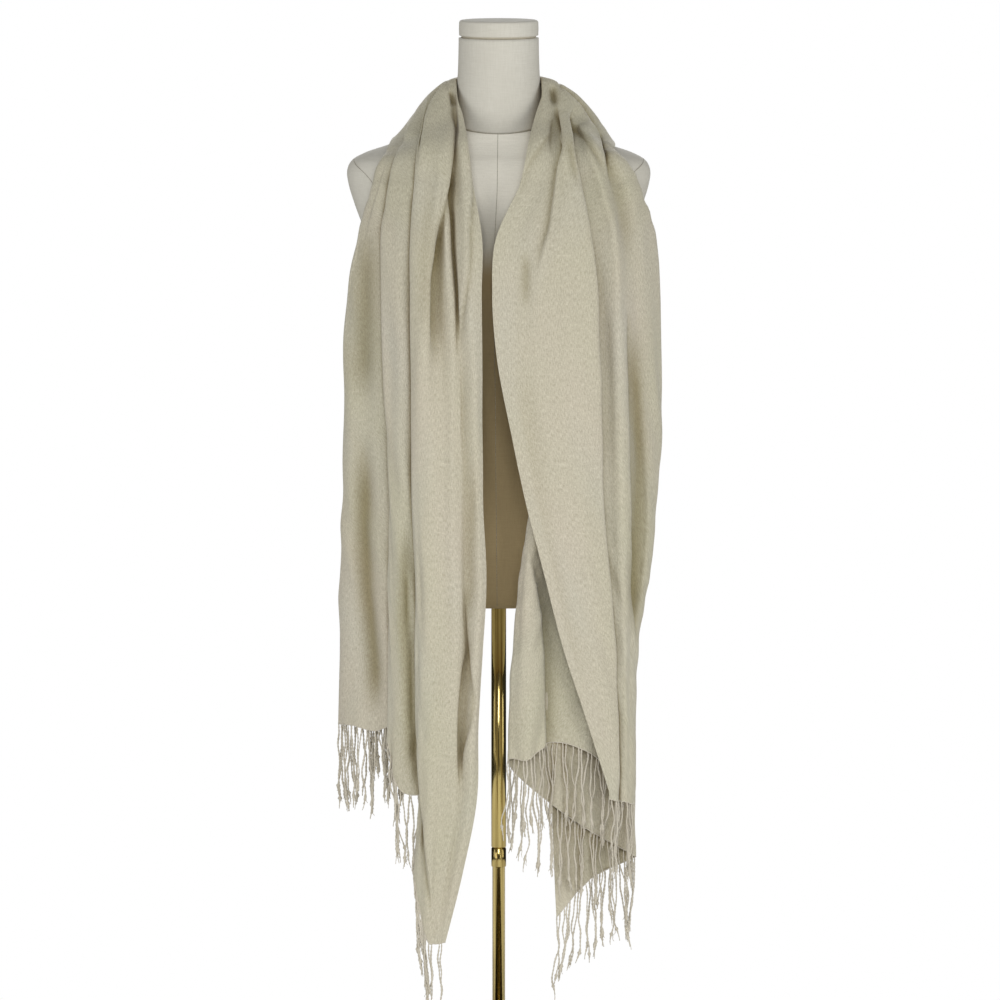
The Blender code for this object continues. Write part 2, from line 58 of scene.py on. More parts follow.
# `hem` is the height a fold ends at; `shoulder` is its place across and its height off the
# shoulder; `across` is its distance from the centre line at FOLD_HEIGHTS, `depth` its depth at
# DEPTH_HEIGHTS, and `samples` the steps to the next. `turn` is the room inside a sharp fold, and
# `hem_under` the height its under side ends at.
Fold = namedtuple(
    "Fold", "name hem shoulder samples across depth turn hem_under", defaults=(0, None))
FOLD_HEIGHTS = (1250, 1190, 1120, 1040, 950, 860, 770, 680, 590, 500, 400, 310)
DEPTH_HEIGHTS = (1250, 1120, 860, 590, 310)
LEFT_FOLDS = [Fold(*row) for row in (
    ("inner selvage", 314, (-45, 21), 5,
     (-32, -21, -21, -20, -20, -20, -15, -20, -25, -26, -45, -67), (24, 34, 34, 34, 35)),
    ("inner crest", 313, (-49, 27), 10,
     (-42, -38, -38, -31, -28, -27, -23, -28, -33, -35, -53, -71), (30, 40, 40, 40, 37)),
    ("inner valley", 312, (-53.5, 19), 10,
     (-57, -56, -51, -47, -46, -45, -46, -41, -45, -46, -61, -75), (20, 31, 34, 30, 37)),
    ("strip crest", 312, (-60, 27), 10,
     (-65, -65, -60, -57, -57, -57, -57, -53, -53, -55, -67, -77), (29, 36, 39, 38, 38)),
    ("strip valley", 312, (-68, 30), 12,
     (-71, -75, -76, -72, -68, -68, -68, -66, -65, -66, -75, -81), (31, 31, 38, 39, 37.5)),
    ("front crest", 312, (-77, 31.5), 14,
     (-76, -85, -86, -88, -88, -88, -87, -86, -85, -83, -86, -86), (33, 44, 43, 42, 39)),
    ("front fold", 406, (-97, 29), 8,
     (-103, -108, -108, -108, -107, -107, -103, -103, -102, -98, -106), (30, 38, 37, 37, 36),
     5, 425),
    ("front fold, under", 497, (-86, 22), 10,
     (-88, -88, -88, -87, -86, -86, -85, -83, -83, -91), (22, 29, 29, 29, 29), 5, 497),
    ("middle crest", 501, (-107, 20), 12,
     (-120, -123, -124, -122, -121, -121, -121, -121, -120, -121), (21, 27, 27, 27, 27)),
    ("middle fold", 562, (-119, 17), 8,
     (-136, -145, -145, -142, -138, -135, -136, -136, -136, -137), (17, 23, 23, 23, 23), 5, 568),
    ("middle fold, under", 588, (-111, 12.5), 12,
     (-127, -133, -131, -126, -123, -122, -121, -121, -123), (11, 17, 17, 17, 17), 5, 588),
    ("outer valley", 573, (-122, 8.5), 12,
     (-142, -155, -163, -166, -168, -168, -166, -157, -153), (8, 11, 9, 9, 9)),
    ("outer crest", 578, (-132, 8.5), 8,
     (-148, -166, -180, -183, -186, -186, -186, -183, -181), (9, 14, 14, 14, 14)),
    ("outer fold", 577, (-139, 6.5), 12,
     (-156, -173, -186, -191, -192, -193, -196, -198, -198), (7, 11, 11, 11, 10), 7, 577),
    ("back fold, inner", 600, (-72, 10), 10,
     (-90, -92, -92, -92, -92, -92, -92, -92, -92), (9, 9, 9, 9, 9), 5, 604),
    ("back fold, outer", 612, (-106, 3), 10,
     (-134, -148, -160, -163, -164, -165, -165, -165, -165), (-4, -12, -15, -15, -15), 5, 612),
    ("outer selvage", 625, (-76, 4), 0,
     (-108, -110, -110, -110, -110, -110, -110, -110, -110), (-4, -7, -8, -8, -8)),
)]
RIGHT_FOLDS = [Fold(*row) for row in (
    ("inner selvage", 491, (45, 22), 12,
     (25, -3, -8, -2, 15, 34, 57, 80, 109, 137), (26, 36, 37, 36, 34)),
    ("dimple", 491, (56, 29), 16,
     (45, 24, 17, 20, 35, 52, 72, 93, 119, 139), (22, 32, 38, 37, 34)),
    ("crease", 490, (70, 25), 18,
     (69, 59, 44, 48, 62, 73, 89, 108, 129, 142), (27, 37, 40, 38, 34)),
    ("front crest", 489, (77, 32), 12,
     (87, 92, 94, 98, 103, 107, 117, 128, 139, 145), (35, 43, 42, 39, 34)),
    ("front fold", 488, (85, 34), 6,
     (102, 114, 122, 124, 127, 129, 137, 144, 148, 149), (34, 42, 40, 37, 34), 4.5, 488),
    ("front fold, under", 488, (78, 25), 12,
     (89, 99, 105, 108, 110, 114, 124, 134, 143, 147), (26, 34, 32, 31, 31), 4.5, 488),
    ("inner hollow", 487, (96, 22), 10,
     (117, 132, 134, 134, 137, 138, 143, 148, 152, 153), (19, 27, 28, 30.5, 32)),
    ("side crest", 486, (107, 26), 10,
     (128, 145, 148, 149, 151, 153, 155, 157, 158, 158), (24, 36, 37, 33, 32.5)),
    ("side valley", 484, (120, 17), 12,
     (143, 157, 161, 167, 172, 173, 170, 163, 162, 162), (13, 24, 24, 30, 32)),
    ("side roll", 483, (132, 16), 8,
     (162, 178, 184, 187, 190, 187, 182, 169, 166, 166), (14, 22, 25, 29, 31.5)),
    ("outer fold", 482, (146, 7), 12,
     (174, 193, 199, 201, 202, 195, 187, 173, 170, 169), (8, 16, 19, 24, 28), 4.5, 482),
    ("second layer crest", 545, (125, 6.5), 14,
     (150, 158, 158, 158, 154, 149, 142, 127, 119, 117), (5, 9, 13, 16, 18)),
    ("second layer valley", 561, (104, 11), 12,
     (114, 108, 102, 95, 87, 77, 68, 65, 64, 64), (12, 13, 11, 9, 10)),
    ("second layer roll", 541, (80, 16), 8,
     (77, 62, 58, 58, 54, 49, 39, 37, 35, 35), (16, 20, 24, 24, 22)),
    ("inner fold", 542, (64, 18), 14,
     (62, 39, 33, 33, 37, 39, 27, 19, 14, 14), (13, 15, 17, 17, 16), 5, 532),
    ("third layer", 463, (90, 8), 14,
     (108, 108, 108, 108, 104, 99, 92, 89, 89, 92), (5, 6, 5, 4, 5)),
    ("third layer fold", 414, (118, 4), 10,
     (150, 174, 181, 182, 182, 178, 174, 169, 169, 169), (3, 1, 2, 5, 7), 4, 412),
    ("last layer", 388, (90, 4), 10,
     (114, 127, 127, 127, 127, 124, 122, 117, 117, 115), (2, -2, -2, -2, -2)),
    ("outer selvage", 340, (66, 7), 0,
     (77, 70, 67, 67, 67, 67, 67, 67, 65, 66, 69, 73), (4, 2, 1, -1, -3)),
)]
TURN_SAMPLES = 4

# Section of the roll round the neck: distance outward from the neck's foot along the slope of
# the shoulder, and height off that slope. ROLL_TURNS are the points on both sides of its turns,
# and LEFT_TURNS and RIGHT_TURNS the control columns of each fall that come to them.
ROLL_LEFT = (
    (-15, 28), (-23.3, 31.8), (-13, 35.8), (-4, 35.6), (6, 33.8), (17, 31.2), (26, 27.8),
    (37, 23), (46, 18.6), (56, 13.6), (67, 8.8), (76, 5.8), (83, 4),
    (83, 1.4), (66, 5.6), (50, 9), (24, 18), (-6, 26),
    (-5, 20.5), (20, 12.5), (46, 5), (45, 1), (20, 6), (2, 10),
)
ROLL_NAPE = (
    (-23, 20), (-31.4, 25.6), (-21, 29), (-9, 28), (4, 30), (16, 28.3), (28, 25.6),
    (40, 23.4), (52, 18.6), (64, 15.6), (76, 12), (86, 9.5), (94, 7.5),
    (94, 3), (76, 6), (56, 10), (28, 17), (-9, 21),
    (-8, 15.5), (24, 11), (58, 5), (57, 1), (28, 5.5), (0, 8),
)
ROLL_RIGHT = (
    (-15, 29), (-24.5, 33), (-12, 37.6), (0, 38.4), (11, 37.9), (24, 36.6), (35, 33.6),
    (49, 28.6), (62, 23), (74, 17), (83, 11.8), (90.5, 7.8), (95.5, 5.2),
    (95.5, 2.2), (80, 8), (60, 14), (30, 23), (-8, 29),
    (-7, 23.5), (30, 15), (62, 6), (61, 2), (30, 8), (2, 12),
)
ROLL_TURNS = (12, 13, 17, 18, 20, 21)
LEFT_TURNS = (17, 18, 19, 20, 21, 22)
RIGHT_TURNS = (12, 13, 17, 18, 20, 21)
NECK_FOOT_RADIUS = 58
NECK_FOOT_HEIGHT = 1337
NAPE_FOOT_HEIGHT = 1345
SHOULDER_SLOPE = math.radians(28.4)
NAPE_SLOPE = math.radians(52)
NAPE_SHARPNESS = 3
SHOULDER_Y = -44
SHOULDER_LEAN = math.radians(37)
SHOULDER_CLEARANCE = 1.5
MOST_SHOULDER_TURN = 2.5
BEHIND_SEAM = 0.8
CHEST_LIFT = 9
CHEST_OUTWARD = np.array((0, -0.7, 0.7))

# Creases that the solids leave out. A path runs down the front in x and in height on the form's
# centre plane, as the camera sees it; `first` and `last` are the control columns that it may
# press, `width` its reach to each side and `depth` its height. In "left over" the cloth on the
# left of the path lies over the cloth on its right.
Crease = namedtuple("Crease", "kind first last width depth path")
LEFT_COLLAR = (
    (-62, 1379), (-70, 1368), (-78.4, 1355.8), (-85.9, 1343), (-90.9, 1327), (-93.4, 1314),
    (-96, 1298), (-98, 1276), (-99.5, 1250))
RIGHT_COLLAR = (
    (82.9, 1363), (91.6, 1355), (101.6, 1345), (106.6, 1338), (114.1, 1324), (120.4, 1312),
    (126.6, 1301), (130.4, 1287), (132.9, 1270), (135.4, 1258))
LEFT_CREASES = [Crease(*row) for row in (
    ("left over", 2, 6.2, 6, 3.6, (
        (-54.6, 1330), (-54.6, 1302), (-57.1, 1277), (-60.9, 1252), (-65.9, 1220), (-72.1, 1195),
        (-75.9, 1176), (-79.6, 1151), (-83.4, 1126), (-84.6, 1088), (-84.6, 1020))),
    ("groove", 3, 5.6, 7, 4, (
        (-68, 1225), (-71, 1195), (-74, 1160), (-77, 1120), (-78.5, 1080), (-78, 1005))),
    ("groove", 1.4, 4.3, 2.2, 6, (
        (-57.6, 1262), (-58.4, 1220), (-57.1, 1195), (-55.9, 1164), (-53.4, 1132),
        (-50.9, 1101), (-50.2, 1020))),
    ("groove", 0, 3.4, 3, 5, ((-61, 1362), (-58.5, 1354), (-56.5, 1346), (-55, 1338))),
    ("right over", 1, 6.7, 5, 4.2, LEFT_COLLAR),
    ("groove", 1, 6.7, 1.5, 3.5, tuple((x - 1, up) for x, up in LEFT_COLLAR[:-1])),
    ("left over", 0, 2.4, 5, 3.2, (
        (-44.6, 1312), (-39.6, 1293), (-35.9, 1277), (-33.4, 1239), (-35.9, 1189),
        (-36.5, 1151), (-38.4, 1126), (-42.1, 1101), (-45.9, 1076), (-49.6, 1025))),
    ("left over", 0.4, 4.5, 11, 1.8, (
        (-49.6, 1055), (-47.1, 1000), (-45.9, 925), (-44.6, 887), (-45.2, 787), (-44.6, 680))),
    ("left over", 0.4, 4.5, 7, 2.4, (
        (-44, 745), (-42, 700), (-40.9, 661), (-44.6, 646), (-47.1, 624), (-49.6, 599),
        (-50.9, 548), (-49, 480))),
    ("left over", 8.1, 11.4, 5, 3.2, (
        (-118, 765), (-116.3, 735), (-114, 690), (-112.3, 649), (-108.5, 567), (-104, 500),
        (-102.5, 470))),
    ("right over", 4.4, 6.4, 5, 3.4, (
        (-101, 560), (-99, 520), (-96, 472), (-91, 412), (-83, 345), (-78, 320))),
    ("right over", 0.2, 3.5, 7, 2.4, (
        (-43.4, 735), (-38.4, 674), (-34.6, 643), (-29.6, 599), (-32.1, 580), (-35.9, 561),
        (-40.9, 542), (-44.6, 527), (-48.4, 480))),
    ("groove", 0.4, 4, 6, 0.8, (
        (-40, 690), (-39, 650), (-39.5, 600), (-43, 550), (-47, 510))),
    ("groove", 0.3, 2.5, 8, 2.5, ((-33.4, 910), (-33.4, 850), (-35.9, 787), (-35.9, 680))),
    ("groove", 14, 17, 17, 5, (
        (-156, 1215), (-163.4, 1164), (-165, 1113), (-166.5, 1051), (-168, 960))),
    ("groove", 14, 17, 11, 8.4, (
        (-168, 945), (-168.5, 905), (-168.4, 862), (-168.4, 799), (-165.9, 749),
        (-160.9, 699), (-155.9, 649), (-153.4, 570))),
    ("groove", 7.6, 11, 8, 4.5, (
        (-112, 830), (-116, 760), (-117, 700), (-113, 640), (-110, 570), (-106, 480))),
    ("ridge", 4.5, 6.2, 9, 2, (
        (-88, 1320), (-94, 1270), (-97, 1200), (-98, 1120), (-98, 1000), (-97, 860))),
    ("groove", 4.5, 6.2, 8, 1.8, ((-84, 1265), (-86, 1220), (-91, 1150), (-93, 1040))),
    ("ridge", 8.1, 11.4, 12, 5.5, (
        (-97, 1330), (-101, 1290), (-107, 1250), (-112, 1200), (-116, 1140), (-116, 1050),
        (-115.5, 900), (-115, 800), (-112, 700), (-110, 560), (-107, 440))),
    ("ridge", 14.1, 16, 11, 5, (
        (-129, 1300), (-139.9, 1254), (-149, 1199), (-152, 1120), (-149, 1030), (-147, 940),
        (-144, 860), (-142, 700), (-142, 540))),
)]
RIGHT_CREASES = [Crease(*row) for row in (
    ("groove", 2, 11.3, 2, 6.2, ((70, 1376), (78, 1367), *RIGHT_COLLAR, (139.1, 1235))),
    ("left over", 2, 11.3, 6, 3.4, ((72, 1378), (78, 1368), *RIGHT_COLLAR, (139.1, 1225))),
    ("groove", 8, 11.8, 9, 2.6, (
        (124, 1315), (131.6, 1289), (136.6, 1270), (141.6, 1252), (146.6, 1237), (151.6, 1216),
        (156.6, 1189), (159.1, 1130))),
    ("right over", 5.4, 11, 6, 4.2, (
        (71, 1325), (77, 1322), (82.9, 1319), (89.1, 1316), (97.9, 1311), (104.1, 1304),
        (110.4, 1296), (116.6, 1287), (122.9, 1277), (127.9, 1264), (131.6, 1245))),
    ("groove", 4.6, 8, 3.5, 5, ((80, 1330), (85, 1316), (89, 1306), (92, 1296))),
    ("groove", 0, 7, 5, 5.6, ((65.5, 1370), (67.5, 1360), (69, 1350), (70.5, 1338))),
    ("groove", 1.5, 6, 2.3, 4.5, (
        (70.5, 1345), (71.6, 1334), (74.1, 1321), (76.6, 1308), (77.9, 1289), (75, 1262))),
    ("groove", 1, 5, 2.2, 2.5, ((69, 1328), (66.4, 1314), (65.1, 1300), (64.9, 1276))),
    ("left over", 0, 3, 7, 2, (
        (67.9, 1313), (57.9, 1299), (49.1, 1287), (35.4, 1267), (26.6, 1243), (17.9, 1223),
        (7.9, 1195))),
    ("right over", 1, 5.5, 7, 3.4, (
        (71.6, 1337), (76.6, 1312), (77.9, 1289), (75.4, 1273), (72.9, 1262), (70.4, 1245),
        (67.9, 1226), (65.4, 1210), (62.9, 1191), (59.1, 1176), (54.1, 1161), (46, 1115))),
    ("groove", 2.4, 5.6, 5, 3, ((84, 1306), (88, 1287), (92, 1265), (97, 1235))),
    ("groove", 0, 3.2, 6, 3.2, ((32, 1166), (32.9, 1140), (32.9, 1110), (33.6, 1080))),
    ("left over", 14.2, 16.7, 13, 4.2, (
        (33, 815), (37.5, 788), (43.6, 757), (50.4, 717), (53.5, 680), (55.8, 635), (57, 590),
        (57.1, 548), (56.5, 500))),
    ("groove", 6.4, 13, 9, 5.5, (
        (165, 1080), (169.1, 1013), (171.6, 963), (174.1, 913), (174.1, 850), (171.6, 787),
        (169.1, 737), (168, 670))),
    ("left over", 6.4, 11.5, 5, 2.6, (
        (157.5, 1090), (159, 1030), (160.7, 975), (162, 910), (163.4, 850), (165.5, 800),
        (168.2, 703), (169, 640))),
    ("right over", 8.6, 12.4, 6, 1.6, (
        (175, 1010), (179, 930), (182, 890), (184, 850), (183, 800), (178, 750), (174, 700))),
    ("groove", 5.6, 8.6, 7, 1.4, (
        (114, 1190), (124, 1120), (131, 1050), (134, 980), (135, 880))),
    ("groove", 0.6, 2.8, 13, 0.9, (
        (24, 1060), (32, 980), (46, 880), (62, 780), (82, 690), (104, 590))),
    ("ridge", 2.4, 4.2, 12, 1.8, (
        (86, 1190), (92, 1080), (98, 960), (104, 830), (116, 700))),
)]
# A crease fades in over a length at its start, longer for grooves and wide laps, and out at its
# end, but never over more than a share of its path.
CREASE_START = 22
WIDE_START = 9
NARROW_LAP = 7
START_SHARE = 0.35
CREASE_END = 70
END_SHARE = 0.45
PATH_SAMPLES = 8
LAP_EDGE = 1.0
LAP_DROP = 0.8
LAP_SPREAD = 3
# A crease this deep gets full painted shade in its hollow.
FULL_SHADE_DEPTH = 6.5
COLUMN_MARGIN = 0.35
SEAM_MARGIN = (0.3, 6)

# Pleats: place across the roll, width and depth. Those of the falls cross the seams at the tops
# of the shoulders. Those of the nape run round it, each about its own angle.
Pleat = namedtuple("Pleat", "slot width depth centre", defaults=(0,))
LEFT_PLEATS = (Pleat(2.1, 0.22, 2.0), Pleat(7.6, 0.5, 0.5))
RIGHT_PLEATS = (Pleat(3.0, 0.22, 2.2), Pleat(8.6, 0.4, 0.6))
NAPE_PLEATS = (
    Pleat(1.2, 0.5, 2.6, 10), Pleat(2.9, 0.4, 3.6, 40), Pleat(4.7, 0.45, 3.2, -25),
    Pleat(6.2, 0.4, 3.8, 15), Pleat(7.9, 0.45, 3.4, -40), Pleat(9.3, 0.4, 3.4, 30),
    Pleat(10.8, 0.45, 2.6, -10),
)
PLEAT_REACH = 42
NAPE_REACH = 62
NAPE_FADE = 75
NAPE_WANDER = 0.45
WANDER_WAVES = 2.3
WANDER_STEP = 70
ROLL_EDGE = (0.3, 0.6)

RIPPLES = 7
RIPPLE_HEIGHT = 0.7
RIPPLE_ACROSS = (15, 52)
RIPPLE_ALONG = (220, 760)
RIPPLE_BEND = 0.35
SWELL_LENGTH = 0.7
RIPPLE_START = (12, 70)
HEM_WAVES = 3
HEM_WAVE = 1.4
HEM_WAVE_SPANS = (21, 55)
HEM_WAVE_REACH = 28
SEED = 11
FRINGE_SEED = 16

# Fringe. Strands of a group meet at a share of their length and twist round each other below it.
STRAND_PITCH = 6.6
STRAND_SCATTER = 0.3
STRAND_RADIUS = 0.95
STRAND_RADII = (0.8, 1.15)
GROUP_SIZES = (1, 1, 1, 2, 2, 3, 3)
GROUP_MEETS = (0.55, 0.95)
GROUP_TURNS = 2.4
STRAND_LENGTHS = (92, 108)
OWN_LENGTHS = (0.93, 1.04)
LENGTH_FOLLOWS = 0.7
LEAN_ACROSS = (-7, 7)
LEAN_ALONG = (-2, 1)
LEAN_CURVE = 1.4
STEEP_LEAN = 11
STEEP_SLOPE = (0.55, 0.4)
SWING_WAVES = (0.6, 1.7)
SWING_REACHES = (2.2, 0.9)
CURLS = (((0.7, 1.5), 2.0), ((2.2, 4.2), 0.6))
JOINED_CURL = 0.8
ROOT_RISE = 0.6
ROOT_SIZE = 0.75
ROOT_SHARE = 12
KNOT_PLACES = (0.8, 0.92)
KNOT_SIZES = (0.6, 1.5)
KNOT_LENGTH = 2.6
END_TAPER = 0.55
UNEVEN = 0.16
UNEVEN_WAVES = (2, 5)
TUFTS = (0, 1, 1, 2)
TUFT_LENGTHS = (5, 13)
TUFT_SPREAD = (3.2, 1.5, 0)
TUFT_FLARE = 0.8
TUFT_CURL = 0.7
TUFT_WAVES = 7
TUFT_RADII = (0.6, 0.3)
TUFT_SIDES = 5
TUFT_RINGS = 8
HEM_STEP = 2
HEM_DROP = (0, 0, 0.2)
HEM_RADIUS = 0.75
HEM_SIDES = 6
STRAND_RINGS = 60
STRAND_SIDES = 8
TWIST_PITCH = 10
TWIST_LOBE = 0.26

SHORTEST_SPAN = 0.01
SHORTEST_NORMAL = 1e-9
ROLL_SAMPLES = 8
ROWS_TO_SHOULDER = 24
ROWS_TO_CHEST = 44
ROWS_DOWN = 134
ROWS_ROUND_NECK = 100
SHELL_WALL = 0.9

# Form: a row for each level ring, with its reach to the sides, front and back. The tilt lifts a
# ring towards the back, up to the slant of the neckline.
FormRing = namedtuple("FormRing", "height side front back tilt")
TORSO_RINGS = [FormRing(*row) for row in (
    (723, 144, 92, 94, 0),
    (731, 152, 99, 101, 0),
    (780, 158, 104, 107, 0),
    (860, 147, 99, 100, 0),
    (940, 134, 94, 88, 0),
    (1010, 141, 101, 90, 0),
    (1080, 156, 114, 100, 0),
    (1140, 165, 118, 108, 0),
    (1189, 169, 111, 111, 0),
    (1219, 179, 103, 109, 0),
    (1245, 187, 95, 105, 0),
    (1262, 189, 88, 101, 0),
    (1274, 184, 82, 97, 0.01),
    (1283, 169, 76, 91, 0.03),
    (1291, 143, 70, 84, 0.07),
    (1300, 116, 65, 76, 0.12),
    (1311, 90, 60, 68, 0.18),
    (1326, 61, 57, 59, 0.26),
)]
NECK_RINGS = [FormRing(*row) for row in (
    (1326.6, 60.7, 56.7, 58.7, 0.26),
    (1336, 57, 54, 55, 0.18),
    (1352, 54, 52, 53, 0.08),
    (1379, 51.3, 51, 51.3, 0),
    (1404, 50.3, 50.3, 50.3, 0),
    (1428, 49.9, 49.9, 49.9, 0),
)]
BODY_SQUARENESS = 2.3
NECK_SQUARENESS = 2.0
FORM_SIDES = 128
FORM_SAMPLES = 6
TURNED_SIDES = 96
CHEST_HEIGHT = 1140
SURFACE_ACCURACY = 0.0001


def blend(a, b, t):
    return a + (b - a) * t


def ease(t):
    """A smooth step from 0 to 1."""
    t = np.clip(t, 0, 1)
    return t * t * (3 - 2 * t)


def forward(y, span):
    """A smooth step towards the front, from a place and over a length."""
    return ease((-y - span[0]) / span[1])


def bell(s, width):
    return np.exp(-(s / width) ** 2)


def circle(sides):
    """The angles of equal steps round a circle."""
    return 2 * np.pi * np.arange(sides) / sides


def distances(points, axis=0):
    """How far along an axis of the array each point lies from the first."""
    run = np.cumsum(np.linalg.norm(np.diff(points, axis=axis), axis=-1), axis=axis)
    return np.concatenate((run.take([0], axis) * 0, run), axis=axis)


def smooth(places, values, at):
    """A curve through the values, with the slope at each one taken from its neighbours."""
    places = np.asarray(places, float)
    values = np.asarray(values, float)
    if places[0] > places[-1]:
        places = places[::-1]
        values = values[::-1]
    at = np.clip(np.asarray(at, float), places[0], places[-1])
    slopes = np.gradient(values, places)
    k = np.clip(np.searchsorted(places, at) - 1, 0, len(places) - 2)
    width = places[k + 1] - places[k]
    t = (at - places[k]) / width
    start = values[k] * (2 * t**3 - 3 * t**2 + 1) + slopes[k] * width * (t**3 - 2 * t**2 + t)
    end = values[k + 1] * (3 * t**2 - 2 * t**3) + slopes[k + 1] * width * (t**3 - t**2)
    return start + end


def spline(points, counts):
    """Centripetal curves through rows of points (row, point, xyz), counts[k] steps to span k."""
    before = 2 * points[:, :1] - points[:, 1:2]
    after = 2 * points[:, -1:] - points[:, -2:-1]
    ends = np.concatenate((before, points, after), axis=1)
    gaps = np.maximum(np.linalg.norm(np.diff(ends, axis=1), axis=2), SHORTEST_SPAN)
    knots = np.concatenate((gaps[:, :1] * 0, np.cumsum(np.sqrt(gaps), axis=1)), axis=1)
    made = [points[:, 0]]
    for k, count in enumerate(counts):
        p = [ends[:, k + i] for i in range(4)]
        t = [knots[:, k + i, None] for i in range(4)]
        for j in range(1, count + 1):
            here = blend(t[1], t[2], j / count)
            first = [
                blend(p[i], p[i + 1], (here - t[i]) / (t[i + 1] - t[i])) for i in range(3)
            ]
            second = [
                blend(first[i], first[i + 1], (here - t[i]) / (t[i + 2] - t[i])) for i in range(2)
            ]
            made.append(blend(second[0], second[1], (here - t[1]) / (t[2] - t[1])))
    return np.stack(made, axis=1)


def row_value(rows, field, height):
    """A column of a table of levels, at a height."""
    return smooth([r.height for r in rows], [getattr(r, field) for r in rows], height)


# ---------------------------------------------------------------- form

def torso_value(field, height):
    return row_value(TORSO_RINGS, field, height)


def body_top(x, y):
    """Height of the form's upper surface over a point."""
    low, high = CHEST_HEIGHT, TORSO_RINGS[-1].height
    while high - low > SURFACE_ACCURACY:
        middle = (low + high) / 2
        side = torso_value("side", middle)
        reach = torso_value("back" if y > 0 else "front", middle)
        level = (abs(x) / side) ** BODY_SQUARENESS + (abs(y) / reach) ** BODY_SQUARENESS
        if level < 1:
            low = middle
        else:
            high = middle
    return low + torso_value("tilt", low) * y


def torso_side(hand, y, height):
    reach = torso_value("back" if y > 0 else "front", height)
    side = torso_value("side", height)
    x = side * (1 - min(abs(y) / reach, 1) ** BODY_SQUARENESS) ** (1 / BODY_SQUARENESS)
    return np.array((hand * x, y, height + torso_value("tilt", height) * y))


def loft_form(rings, squareness):
    """Rings of the form, from its foot to its top, as an array (ring, side, xyz)."""
    c, s = np.cos(circle(FORM_SIDES)), np.sin(circle(FORM_SIDES))
    control = []
    for ring in rings:
        x = ring.side * np.sign(c) * np.abs(c) ** (2 / squareness)
        y = np.where(s > 0, ring.back, ring.front) * np.sign(s) * np.abs(s) ** (2 / squareness)
        control.append(np.stack((x, y, ring.height + ring.tilt * y), axis=1))
    lanes = spline(np.stack(control, axis=1), [FORM_SAMPLES] * (len(rings) - 1))
    return lanes.transpose(1, 0, 2)


# ---------------------------------------------------------------- cloth

def roll_curves(section, angles):
    """Dense sections of the roll at each angle: -90 over the left shoulder, 0 at the nape."""
    turns = np.radians(angles)
    share = (np.cos(turns) ** NAPE_SHARPNESS)[:, None]
    slope = blend(SHOULDER_SLOPE, NAPE_SLOPE, share)
    foot = blend(NECK_FOOT_HEIGHT, NAPE_FOOT_HEIGHT, share)
    side, nape = np.array(section, float), np.array(ROLL_NAPE, float)
    out = blend(side[None, :, 0], nape[None, :, 0], share)
    up = blend(side[None, :, 1], nape[None, :, 1], share)
    radius = NECK_FOOT_RADIUS + out * np.cos(slope) + up * np.sin(slope)
    height = foot - out * np.sin(slope) + up * np.cos(slope)
    sines, cosines = np.sin(turns)[:, None], np.cos(turns)[:, None]
    points = np.stack((sines * radius, cosines * radius, height), axis=2)
    return spline(points, [ROLL_SAMPLES] * (len(section) - 1))


def along_curves(curves, slots):
    """Points of dense curves at the given slots."""
    last = curves.shape[1] - 1
    at = np.clip(np.asarray(slots) * ROLL_SAMPLES, 0, last)
    k = np.minimum(at.astype(int), last - 1)
    t = (at - k)[None, :, None]
    return blend(curves[:, k], curves[:, k + 1], t)


def hang_y(x, height):
    inside = 1 - (np.abs(x) / row_value(HANG_ROWS, "side", height)) ** HANG_SQUARENESS
    inside = np.maximum(inside, LEAST_INSIDE) ** (1 / HANG_SQUARENESS)
    return -row_value(HANG_ROWS, "front", height) * inside


def columns_of(folds):
    """The control columns of a fall: one for a soft fold, and two for a sharp one."""
    for fold in folds:
        if fold.turn:
            yield fold, 0.0, fold.hem, TURN_SAMPLES
            yield fold, fold.turn, fold.hem_under, fold.samples
        else:
            yield fold, 0.0, fold.hem, fold.samples


def hanging_points(fold, inset, heights):
    x = smooth(FOLD_HEIGHTS[:len(fold.across)], fold.across, heights)
    depth = smooth(DEPTH_HEIGHTS, fold.depth, heights) - inset
    return np.stack((x, hang_y(x, heights) - depth, heights), axis=-1)


def shoulder_point(fold, inset):
    x, lift = fold.shoulder
    lift -= min(inset, MOST_SHOULDER_TURN)
    foot = body_top(x, SHOULDER_Y) + SHOULDER_CLEARANCE
    y = SHOULDER_Y - lift * math.sin(SHOULDER_LEAN)
    return (x, y, foot + lift * math.cos(SHOULDER_LEAN))


